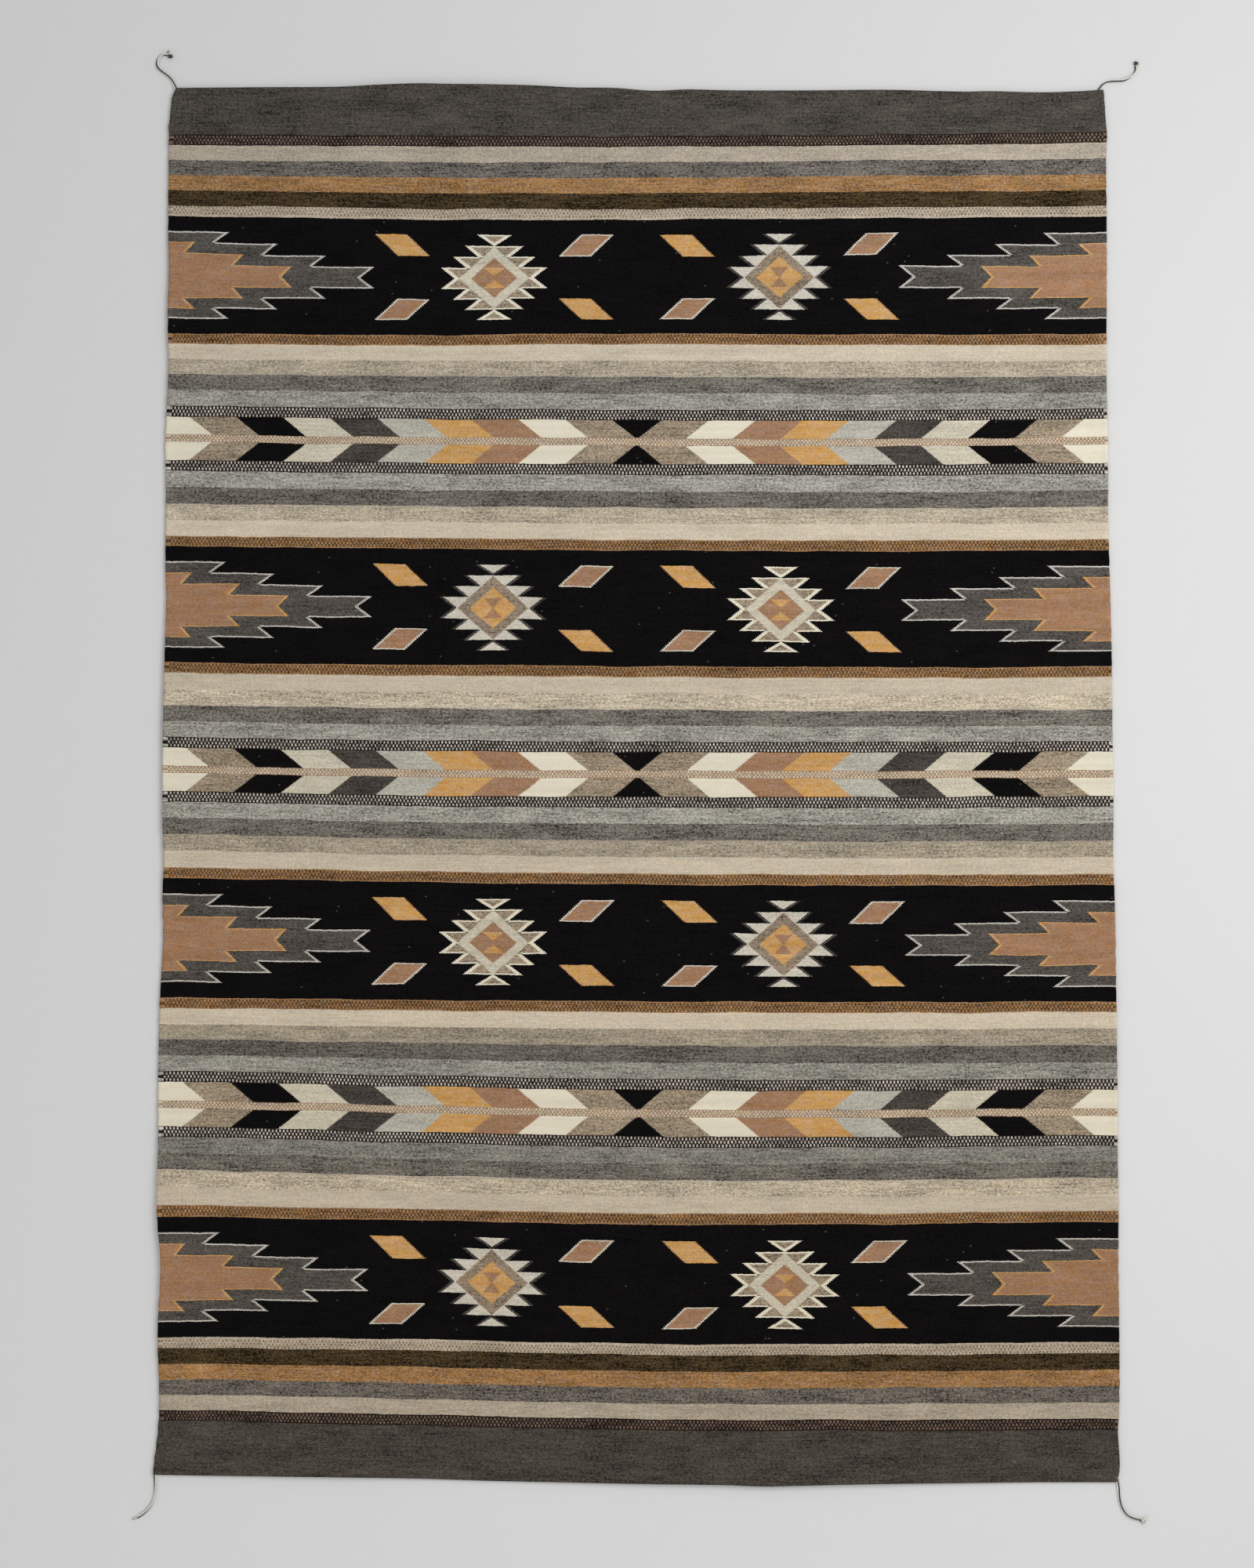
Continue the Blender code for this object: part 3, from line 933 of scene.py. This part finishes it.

# %% [markdown]
# ## The cloth as a sheet
#
# One could thicken a flat grid with a Solidify modifier, but the selvage is fatter than the rest. So both
# faces are laid out one by one, on a grid that is fine near the edges: an underside that rests on the floor
# but for shallow ripples, a top a cloth's thickness above it, and rings of points that round the edge
# between them.

# %% Cloth surface functions
SCALLOP_HEIGHT = 0.00035
SCALLOP_STEP = 0.0031
WAVER_HEIGHT = 0.0005
WAVERS_PER_METRE = 90.0
WAVER_SEED = 3.7
RIGHT_SIDE_SEED = 5.0
UNEVEN_HEIGHT = 0.00025
UNEVEN_PER_METRE = (14.0, 22.0)
UNEVEN_SEED = 1.3
SELVAGE_RISE = 0.0008
SELVAGE_CENTRE = 0.0032
SELVAGE_REACH = 0.0055
EDGE_LIFT = 0.0014
EDGE_LIFT_REACH = 0.030
GRID_STEP = 0.0105
EDGE_LINES = (0.0009, 0.0020, 0.0032, 0.0046, 0.0064, 0.0087, 0.0142, 0.0230, 0.0320)
RIPPLES = (
    # centre x, centre y, reach x, reach y, height, in mm
    (-640, -600, 130, 240, 4.0),
    (-640, 40, 110, 300, 3.0),
    (-640, 590, 100, 220, 2.0),
    (170, -930, 400, 120, 5.0),
    (-400, -930, 190, 100, 3.0),
    (-270, 930, 250, 110, 3.5),
    (640, -330, 90, 260, 2.0),
    (640, 480, 90, 200, 1.6),
)


def selvage_waver(place):
    """Small scallops of an edge, where each weft bundle turns: under a millimetre."""
    scallop = SCALLOP_HEIGHT * math.sin(place / SCALLOP_STEP)
    return scallop + WAVER_HEIGHT * noise.noise(Vector((place * WAVERS_PER_METRE, WAVER_SEED, 0.0)))


def cloth_place(across, along):
    """Place of a point of the cloth, from its distances to the plain rectangle's left and bottom."""
    straight_x = across - WIDTH / 2
    straight_y = along - LENGTH / 2
    left = -WIDTH / 2 - smooth_value(LEFT_EDGE, straight_y / MM) * MM - selvage_waver(straight_y)
    right = WIDTH / 2 + smooth_value(RIGHT_EDGE, straight_y / MM) * MM
    right += selvage_waver(straight_y + RIGHT_SIDE_SEED)
    bottom = -LENGTH / 2 - smooth_value(BOTTOM_EDGE, straight_x / MM) * MM
    top = LENGTH / 2 + smooth_value(TOP_EDGE, straight_x / MM) * MM
    return left + (right - left) * across / WIDTH, bottom + (top - bottom) * along / LENGTH


def hump(off):
    """A smooth hump: 1 where off is 0, and 0 where it is 1 or more."""
    return 0.5 * (1 + math.cos(math.pi * off)) if off < 1.0 else 0.0


def ripple_height(x, y):
    """How high the ripples lift the underside."""
    height = 0.0
    for centre_x, centre_y, reach_x, reach_y, top in RIPPLES:
        off = math.hypot((x / MM - centre_x) / reach_x, (y / MM - centre_y) / reach_y)
        height += top * MM * hump(off)
    return height


def edge_distance(across, along):
    """Distance from the nearest edge of the cloth."""
    return max(min(across, WIDTH - across, along, LENGTH - along), 0.0)


def edge_lift(across, along):
    """How far the outermost strip curls up from the floor."""
    return EDGE_LIFT * hump(edge_distance(across, along) / EDGE_LIFT_REACH)


def cloth_thickness(across, along):
    """Thickness of the cloth: a little more along its edges, and slightly uneven everywhere."""
    fat = SELVAGE_RISE * hump(abs(edge_distance(across, along) - SELVAGE_CENTRE) / SELVAGE_REACH)
    place = Vector((across * UNEVEN_PER_METRE[0], along * UNEVEN_PER_METRE[1], UNEVEN_SEED))
    return THICKNESS + fat + UNEVEN_HEIGHT * noise.noise(place)


def stations(span):
    """Distances of the grid lines from one edge."""
    inner = span - 2 * EDGE_LINES[-1]
    count = round(inner / GRID_STEP)
    middle = [EDGE_LINES[-1] + inner * i / count for i in range(1, count)]
    return list(EDGE_LINES) + middle + [span - line for line in reversed(EDGE_LINES)]


print(len(stations(WIDTH)), "by", len(stations(LENGTH)), "grid lines")

# %% Build the sheet
RIM_PROFILE = (
    # share of the edge's rounding left, share of the thickness, from the underside up
    (0.30, 0.16),
    (0.00, 0.50),
    (0.30, 0.84),
)
BAKE_MARGIN = 0.010
BAKE_RIM_STEP = 0.0022


def sheet_border(columns, rows):
    """Grid indices round the outside, counter-clockwise seen from above."""
    last_column, last_row = columns - 1, rows - 1
    loop = [(i, 0) for i in range(last_column)]
    loop += [(last_column, j) for j in range(last_row)]
    loop += [(i, last_row) for i in range(last_column, 0, -1)]
    loop += [(0, j) for j in range(last_row, 0, -1)]
    return loop


def border_place(corner, columns, rows, out):
    """Distances across and along of a grid point, moved outward if it lies on the border."""
    i, j = corner
    across = columns[i] + out * ((i == len(columns) - 1) - (i == 0))
    along = rows[j] + out * ((j == len(rows) - 1) - (j == 0))
    return across, along


def build_cloth():
    """The whole cloth as one closed sheet, with its Weave map and a flat map for baking."""
    columns, rows = stations(WIDTH), stations(LENGTH)
    points, weave, flat = [], [], []

    def add_point(place, height_share):
        """Add a point of the cloth, on its underside at height share 0 and on top at 1."""
        across, along = place
        x, y = cloth_place(across, along)
        z = ripple_height(x, y) + edge_lift(across, along) + height_share * cloth_thickness(across, along)
        points.append((x, y, z))
        warp = warp_place(x / MM, y / MM, (across - WIDTH / 2) / MM)
        weave.append((warp * MM, y - weft_rise(x / MM, y / MM) * MM))
        flat.append(place)
        return len(points) - 1

    cells = [(i, j) for i in range(len(columns)) for j in range(len(rows))]
    under, top = [{(i, j): add_point((columns[i], rows[j]), share) for i, j in cells} for share in (0.0, 1.0)]
    faces, bake = [], []
    for i in range(len(columns) - 1):
        for j in range(len(rows) - 1):
            corners = ((i, j), (i + 1, j), (i + 1, j + 1), (i, j + 1))
            for side, order in ((top, corners), (under, corners[::-1])):
                faces.append([side[c] for c in order])
                bake.append([flat[side[c]] for c in order])

    # Rings of points round the edge, each on its own line of the bake map
    loop = sheet_border(len(columns), len(rows))
    rings = [[under[c] for c in loop]]
    for rounding_left, height_share in RIM_PROFILE:
        out = EDGE_LINES[0] * (1 - rounding_left)
        rings.append([add_point(border_place(c, columns, rows, out), height_share) for c in loop])
    rings.append([top[c] for c in loop])
    for level, (low, high) in enumerate(zip(rings, rings[1:])):
        for k, here in enumerate(loop):
            n = (k + 1) % len(loop)
            faces.append([low[k], low[n], high[n], high[k]])
            outs = [BAKE_RIM_STEP * (len(rings) - 1 - up) for up in (level, level, level + 1, level + 1)]
            around = (here, loop[n], loop[n], here)
            bake.append([border_place(c, columns, rows, out) for c, out in zip(around, outs)])

    # Centre the outline on the origin, as the solid is
    xs, ys = [p[0] for p in points], [p[1] for p in points]
    shift_x, shift_y = (min(xs) + max(xs)) / 2, (min(ys) + max(ys)) / 2
    data = bpy.data.meshes.new("blanket_cloth")
    data.from_pydata([(x - shift_x, y - shift_y, z) for x, y, z in points], [], faces)
    weave_map = data.uv_layers.new(name="Weave")
    bake_map = data.uv_layers.new(name="OFBake")
    vertices = [vertex for face in faces for vertex in face]
    places = [place for face in bake for place in face]
    bake_width, bake_length = WIDTH + 2 * BAKE_MARGIN, LENGTH + 2 * BAKE_MARGIN
    for corner, (vertex, (across, along)) in enumerate(zip(vertices, places)):
        weave_map.data[corner].uv = weave[vertex]
        bake_map.data[corner].uv = ((across + BAKE_MARGIN) / bake_width, (along + BAKE_MARGIN) / bake_length)
    data.shade_smooth()
    data.materials.append(CLOTH_MATERIAL)
    return add_object("blanket_cloth", data)


cloth = build_cloth()
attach(cloth, "root")
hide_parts("blanket")
print("cloth faces:", len(cloth.data.polygons))

# %% [markdown]
# ## Yarn for the corner cords
#
# At each corner the selvage cords leave the cloth as a loose end of one dark and one off-white yarn, turned
# slowly round each other. Each yarn has two plies of its own, so its tube has a two-lobed section that
# turns as it goes along. One such tube serves every cord, tail and knot.

# %% Yarn material
PLY_PITCH = 0.0021
TUBE_SIDES = 12
GROOVE_SHADE = 0.30
GROOVE_SHARPNESS = 0.6
WINDING = 1.4
FIBRES_ALONG = 0.8
FIBRES_AROUND = 5.0


def make_yarn_material(name, colour, fleck):
    """A yarn of wound wool fibres with painted shade between its plies, read from its own Lay map in mm."""
    material, tree, shader = start_material(name, roughness=0.85, specular=0.3, sheen=0.2)
    along, around = map_coordinates(tree, "Lay")
    wound = along * WINDING + around
    wool = use_group(
        WOOL, Colour=(*linear(colour), 1.0), Fleck=fleck, Across=along, Along=wound,
        Warp=math.floor(along), Bead=math.floor(wound), Height=0.7,
    )
    # Painted shade darkens the grooves between its plies, on the same turn as the tube's two lobes
    turn = around * (4 * math.pi / TUBE_SIDES) - along * (math.pi * MM / PLY_PITCH)
    shade = abs(calc("COSINE", turn)) ** GROOVE_SHARPNESS * (1 - GROOVE_SHADE) + GROOVE_SHADE
    shaded = add_node(tree, "VectorMath", {0: wool["Colour"], "Scale": shade}, operation="SCALE")
    wire(shaded.outputs[0], shader.inputs["Base Color"])
    fibres = noise_value(along * FIBRES_ALONG, wound * FIBRES_AROUND, FUZZ_DETAIL)
    add_bump(shader, fibres, 0.6, 0.0002)
    return material


DARK_YARN = make_yarn_material("cord_yarn_dark", (72, 70, 65), 0.25)
LIGHT_YARN = make_yarn_material("cord_yarn_light", (236, 233, 222), 0.10)
print("two cord yarns ready")

# %% Swept tube
PLY_DEPTH = 0.18


def heading_at(line, n):
    """The direction in which a line of points runs at one of them."""
    return (line[min(n + 1, len(line) - 1)] - line[max(n - 1, 0)]).normalized()


def tube_parts(line, radius, first, taper):
    """Points, faces and Lay map of a two-ply yarn along a line. Its first point gets the number first."""
    points, faces, lay = [], [], []
    runs = [0.0]
    for here, after in zip(line, line[1:]):
        runs.append(runs[-1] + (after - here).length)
    side = Vector((0, 0, 1))
    for n, (place, run) in enumerate(zip(line, runs)):
        ahead = heading_at(line, n)
        side = (side - ahead * ahead.dot(side)).normalized()
        other = ahead.cross(side)
        ply_turn = math.pi * run / PLY_PITCH
        thin = 1.0 - taper * n / (len(line) - 1)
        for k in range(TUBE_SIDES):
            angle = 2 * math.pi * k / TUBE_SIDES
            groove = PLY_DEPTH * math.sin(angle - ply_turn) ** 2
            reach = radius * thin * (1 - groove)
            points.append(place + (side * math.cos(angle) + other * math.sin(angle)) * reach)
    for n in range(len(line) - 1):
        base = first + n * TUBE_SIDES
        near, far = runs[n] / MM, runs[n + 1] / MM
        for k in range(TUBE_SIDES):
            m = (k + 1) % TUBE_SIDES
            faces.append((base + k, base + m, base + TUBE_SIDES + m, base + TUBE_SIDES + k))
            low, high = k * 0.5, (k + 1) * 0.5
            lay.extend(((near, low), (near, high), (far, high), (far, low)))
    end = first + (len(line) - 1) * TUBE_SIDES
    faces.append(tuple(range(first + TUBE_SIDES - 1, first - 1, -1)))
    faces.append(tuple(range(end, end + TUBE_SIDES)))
    lay.extend([(0.0, 0.0)] * TUBE_SIDES + [(runs[-1] / MM, 0.0)] * TUBE_SIDES)
    return points, faces, lay


def yarn_object(name, strands):
    """One mesh from several strands: each has a line, a radius, a taper and a material number."""
    points, faces, lay, numbers = [], [], [], []
    for line, radius, taper, number in strands:
        new_points, new_faces, new_lay = tube_parts(line, radius, len(points), taper)
        points += new_points
        faces += new_faces
        lay += new_lay
        numbers += [number] * len(new_faces)
    data = bpy.data.meshes.new(name)
    data.from_pydata(points, [], faces)
    lay_map = data.uv_layers.new(name="Lay")
    for corner, place in enumerate(lay):
        lay_map.data[corner].uv = place
    for face, number in zip(data.polygons, numbers):
        face.material_index = number
    data.shade_smooth()
    data.materials.append(DARK_YARN)
    data.materials.append(LIGHT_YARN)
    made = add_object(name, data)
    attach(made, "root")
    return made


print("a yarn tube has", TUBE_SIDES, "sides")

# %% [markdown]
# ## The cords' routes
#
# A limp cord on a floor lies in slow curves. Each route is a short list of places, the same as in the solid
# model, joined by a smooth curve. The two yarns run on opposite sides of it, and the pair turns as it goes.
# A short root of its own takes each pair into the edge of the cloth.

# %% Cord routes
CORD_DIAMETER = 0.004
CORD_ROUTES = {
    "top_left": (
        (-614.3, 916.0), (-618.3, 924.2), (-623.0, 930.7), (-629.3, 936.3), (-635.2, 941.6),
        (-638.3, 947.1), (-638.0, 952.9), (-634.8, 957.7), (-630.3, 960.7), (-626.8, 961.1),
        (-624.5, 959.9),
    ),
    "top_right": (
        (616.1, 914.3), (619.5, 918.9), (624.5, 922.7), (631.6, 924.8), (639.9, 925.6), (647.9, 926.4),
        (655.4, 929.7), (661.0, 934.4), (664.1, 939.7), (664.0, 945.2),
    ),
    "bottom_left": (
        (-623.3, -907.5), (-623.0, -915.3), (-623.0, -923.9), (-623.9, -933.4), (-626.5, -942.2),
        (-631.4, -949.5), (-637.5, -955.3), (-643.5, -959.3), (-649.9, -961.9),
    ),
    "bottom_right": (
        (620.5, -916.6), (621.6, -923.4), (622.2, -932.4), (623.4, -940.9), (626.0, -948.5),
        (630.4, -955.3), (636.4, -959.8), (643.6, -962.2), (649.6, -963.5),
    ),
}
CORD_TURNS = {
    # where the dark yarn starts, in turns from the cord's left side, and how many turns it makes
    "top_left": (0.5, -1.0),
    "top_right": (0.0, 1.05),
    "bottom_left": (0.5, 0.5),
    "bottom_right": (0.02, 0.32),
}
DARK_RADIUS = 0.00092
LIGHT_RADIUS = 0.00115
PAIR_SQUEEZE = 0.93
ROUTE_STEPS = 24
ROOT_LENGTH = 0.0045
ROOT_RISE = 0.0012
ROOT_STEPS = 6


def stretches(route):
    """Each stretch of a route, with the places before and after it."""
    padded = [2 * route[0] - route[1]] + route + [2 * route[-1] - route[-2]]
    return zip(padded, padded[1:], padded[2:], padded[3:])


def smooth_route(points, height):
    """Dense points along a smooth curve through the route's own points."""
    route = [Vector((x * MM, y * MM, height)) for x, y in points]
    dense = []
    for before, start, end, after in stretches(route):
        for step in range(ROUTE_STEPS):
            t = step / ROUTE_STEPS
            dense.append(0.5 * (
                2 * start + (end - before) * t
                + (2 * before - 5 * start + 4 * end - after) * t**2
                + (3 * start - before - 3 * end + after) * t**3
            ))
    return dense + [route[-1]]


def twisted_pair(line, start_turn, turns):
    """The two yarns' own lines beside a cord's line."""
    dark, light = [], []
    for n, place in enumerate(line):
        ahead = heading_at(line, n)
        left = Vector((-ahead.y, ahead.x, 0.0))
        angle = 2 * math.pi * (start_turn + turns * n / (len(line) - 1))
        out = left * math.cos(angle) + Vector((0, 0, 1)) * math.sin(angle)
        dark.append(place + out * LIGHT_RADIUS * PAIR_SQUEEZE)
        light.append(place - out * DARK_RADIUS * PAIR_SQUEEZE)
    return dark, light


def with_root(line):
    """A cord's line with a short root, which climbs into the edge of the cloth that it comes from."""
    back = (line[0] - line[1]).normalized()
    root = []
    for n in range(ROOT_STEPS, 0, -1):
        share = n / ROOT_STEPS
        root.append(line[0] + back * ROOT_LENGTH * share + Vector((0, 0, ROOT_RISE * share)))
    return root + line


def line_length(line):
    """Length of a line of points, in metres."""
    return sum((after - here).length for here, after in zip(line, line[1:]))


cord_lines = {corner: smooth_route(route, CORD_DIAMETER / 2) for corner, route in CORD_ROUTES.items()}
for corner, line in cord_lines.items():
    print("cord", corner, "is", round(line_length(line) * 1000, 1), "mm long")

# %% [markdown]
# ## Knots, tails and the cords themselves
#
# Three of the cords end in a small overhand knot, and one in a fray. A tied overhand knot is a trefoil, so
# a closed trefoil, squeezed flat, stands for it, with a short free tail beside it. The knots replace the
# solid model's grooved balls and fill the same space.

# %% Knots
KNOT_STEPS = 72
KNOT_RADIUS = 0.00118
KNOT_YARN_HALF = 1.1
KNOT_YARN_LIFT = 1.25
KNOT_GAP = 0.3
KNOT_RISE = 0.1
KNOT_SIZES = {
    # length along the cord, width, height in mm, and the yarn number: 0 dark, 1 light
    "top_left": (7.0, 6.6, 5.4, 0),
    "top_right": (6.4, 5.8, 5.2, 0),
    "bottom_right": (9.0, 8.6, 6.2, 1),
}


def knot_line(centre, ahead, size):
    """A trefoil round the centre, as large as the knot less its own yarn."""
    left = Vector((-ahead.y, ahead.x, 0.0))
    long, wide, high, _ = size
    line = []
    for n in range(KNOT_STEPS + 1):
        t = 2 * math.pi * n / KNOT_STEPS
        along = (math.sin(t) + 2 * math.sin(2 * t)) / 3 * (long / 2 - KNOT_YARN_HALF)
        beside = (math.cos(t) - 2 * math.cos(2 * t)) / 3 * (wide / 2 - KNOT_YARN_HALF)
        above = -math.sin(3 * t) * (high / 2 - KNOT_YARN_LIFT)
        line.append(centre + (ahead * along + left * beside + Vector((0, 0, above))) * MM)
    return line


def build_knot(corner):
    """The knot at the end of a cord, in place of its solid."""
    line = cord_lines[corner]
    size = KNOT_SIZES[corner]
    long, _, high, yarn = size
    ahead = (line[-1] - line[-2]).normalized()
    centre = line[-1] + ahead * (long / 2 + KNOT_GAP) * MM
    centre.z = (high / 2 + KNOT_RISE) * MM
    knot = yarn_object(f"end_knot_{corner}", [(knot_line(centre, ahead, size), KNOT_RADIUS, 0.0, yarn)])
    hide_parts(f"knot_{corner}")
    return knot


knots = {corner: build_knot(corner) for corner in KNOT_SIZES}
print("knots:", sorted(k.name for k in knots.values()))

# %% Tails
TAIL_STEPS = 8
TAIL_BEND = 0.125
TAIL_RADIUS = 0.0009
TAIL_TAPER = 0.45
TAILS = {
    # the free yarn end beside a knot: yarn number, then its places in mm
    "top_left": (0, ((-627.4, 961.4, 2.2), (-625.4, 962.6, 2.4), (-623.6, 964.6, 2.2), (-623.2, 966.2, 1.6))),
    "top_right": (1, ((665.0, 940.4, 2.4), (666.4, 943.6, 2.2), (668.2, 947.0, 1.8), (669.0, 950.4, 1.3))),
    "bottom_right": (0, ((648.8, -964.2, 1.7), (650.6, -965.6, 1.5), (652.8, -967.4, 1.3))),
}


def build_tail(corner):
    """A short tapering end of the other yarn."""
    yarn, places = TAILS[corner]
    route = [Vector(place) * MM for place in places]
    line = []
    for before, start, end, after in stretches(route):
        bend = (start + end - before - after) * TAIL_BEND
        for step in range(TAIL_STEPS):
            t = step / TAIL_STEPS
            line.append(start.lerp(end, t) + bend * t * (1 - t))
    line.append(route[-1])
    tail = yarn_object(f"yarn_tail_{corner}", [(line, TAIL_RADIUS, TAIL_TAPER, yarn)])
    return tail


tails = {corner: build_tail(corner) for corner in TAILS}
print("tails:", sorted(t.name for t in tails.values()))

# %% Cords
FRAY_FIBRES = (
    # sideways angle in degrees, length in mm, height at the tip in mm, yarn number
    (-26, 7.0, 0.7, 1),
    (-9, 8.5, 1.2, 1),
    (4, 6.4, 0.6, 0),
    (15, 8.0, 1.0, 1),
    (31, 6.2, 0.7, 0),
)
FRAY_START = 0.93
FRAY_STEPS = 8
FRAY_RADIUS = 0.00055
FRAY_TAPER = 0.6


def fray_strands(line):
    """The loose plies at the end of the cord that has no knot."""
    start = line[-1]
    ahead = (line[-1] - line[-4]).normalized()
    strands = []
    for angle, length, tip_height, yarn in FRAY_FIBRES:
        turn = math.radians(angle)
        heading = ahead.copy()
        heading.rotate(Euler((0.0, 0.0, turn)))
        heading.z = 0.0
        fibre = []
        for n in range(FRAY_STEPS + 1):
            share = n / FRAY_STEPS
            place = start + ahead * length * MM * share * 0.5 + heading * length * MM * share**1.5 * 0.5
            place.z = start.z * (1 - share) + tip_height * MM * share
            fibre.append(place)
        strands.append((fibre, FRAY_RADIUS, FRAY_TAPER, yarn))
    return strands


def build_cord(corner):
    """A cord of two yarns that turn round each other."""
    line = cord_lines[corner]
    if corner not in KNOT_SIZES:
        line = line[: round(len(line) * FRAY_START)]
    dark, light = twisted_pair(with_root(line), *CORD_TURNS[corner])
    split = ROOT_STEPS + 1
    root = yarn_object(f"cord_root_{corner}", [
        (dark[:split], DARK_RADIUS, 0.0, 0), (light[:split], LIGHT_RADIUS, 0.0, 1),
    ])
    strands = [(dark[ROOT_STEPS:], DARK_RADIUS, 0.0, 0), (light[ROOT_STEPS:], LIGHT_RADIUS, 0.0, 1)]
    if corner not in KNOT_SIZES:
        strands += fray_strands(line)
    cord = yarn_object(f"corner_cord_{corner}", strands)
    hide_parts(f"cord_{corner}")
    return cord


cords = {corner: build_cord(corner) for corner in CORD_ROUTES}
print("cords:", sorted(c.name for c in cords.values()))

# %% [markdown]
# ## Floor and light
#
# A large soft lamp stands to the right and a little towards the top of a plain pale floor, and an even sky
# fills the shadows, so the cloth is brighter on its right side and a soft shadow lies along its left and
# bottom edges. The Standard view keeps the yarn colours as they were mixed.

# %% Floor
FLOOR_TONES = ((0.672, 0.668, 0.668, 1.0), (0.684, 0.680, 0.680, 1.0))
FLOOR_GRAIN = 40.0
FLOOR_HEIGHT = -0.00002


def make_floor():
    """A plain pale floor with a very fine grain, a hair below the cloth."""
    bpy.ops.mesh.primitive_plane_add(size=14.0, location=(0, 0, FLOOR_HEIGHT))
    floor = bpy.context.active_object
    floor.name = "floor"
    material, tree, shader = start_material("floor_paint", roughness=0.9, specular=0.1)
    place = tree.nodes.new("ShaderNodeTexCoord").outputs["Object"]
    grain = add_node(tree, "TexNoise", {"Vector": place, "Scale": FLOOR_GRAIN})
    tones = {0: grain.outputs[0], 6: FLOOR_TONES[0], 7: FLOOR_TONES[1]}
    tone = add_node(tree, "Mix", tones, data_type="RGBA")
    wire(tone.outputs[2], shader.inputs["Base Color"])
    floor.data.materials.append(material)


make_floor()
print("floor laid")

# %% Lights
LAMPS = (
    # name, place, watts
    ("key_lamp", Vector((1.65, 0.48, 2.45)), 42.7),
    ("fill_lamp", Vector((-0.76, -2.93, 2.44)), 18.5),
)
LAMP_SIZE = 2.0
SKY_STRENGTH = 0.58


def add_lights():
    """Two large lamps that face the blanket's middle, and an even sky."""
    for name, place, watts in LAMPS:
        data = bpy.data.lights.new(name, "AREA")
        data.shape = "DISK"
        data.size = LAMP_SIZE
        data.energy = watts
        lamp = add_object(name, data)
        lamp.location = place
        lamp.rotation_euler = (-place).to_track_quat("-Z", "Y").to_euler()
    world = bpy.data.worlds.new("sky")
    world.use_nodes = True
    sky = world.node_tree.nodes["Background"]
    sky.inputs["Color"].default_value = (1.0, 1.0, 1.0, 1.0)
    sky.inputs["Strength"].default_value = SKY_STRENGTH
    bpy.context.scene.world = world
    bpy.context.scene.view_settings.view_transform = "Standard"


add_lights()
print("lights set")
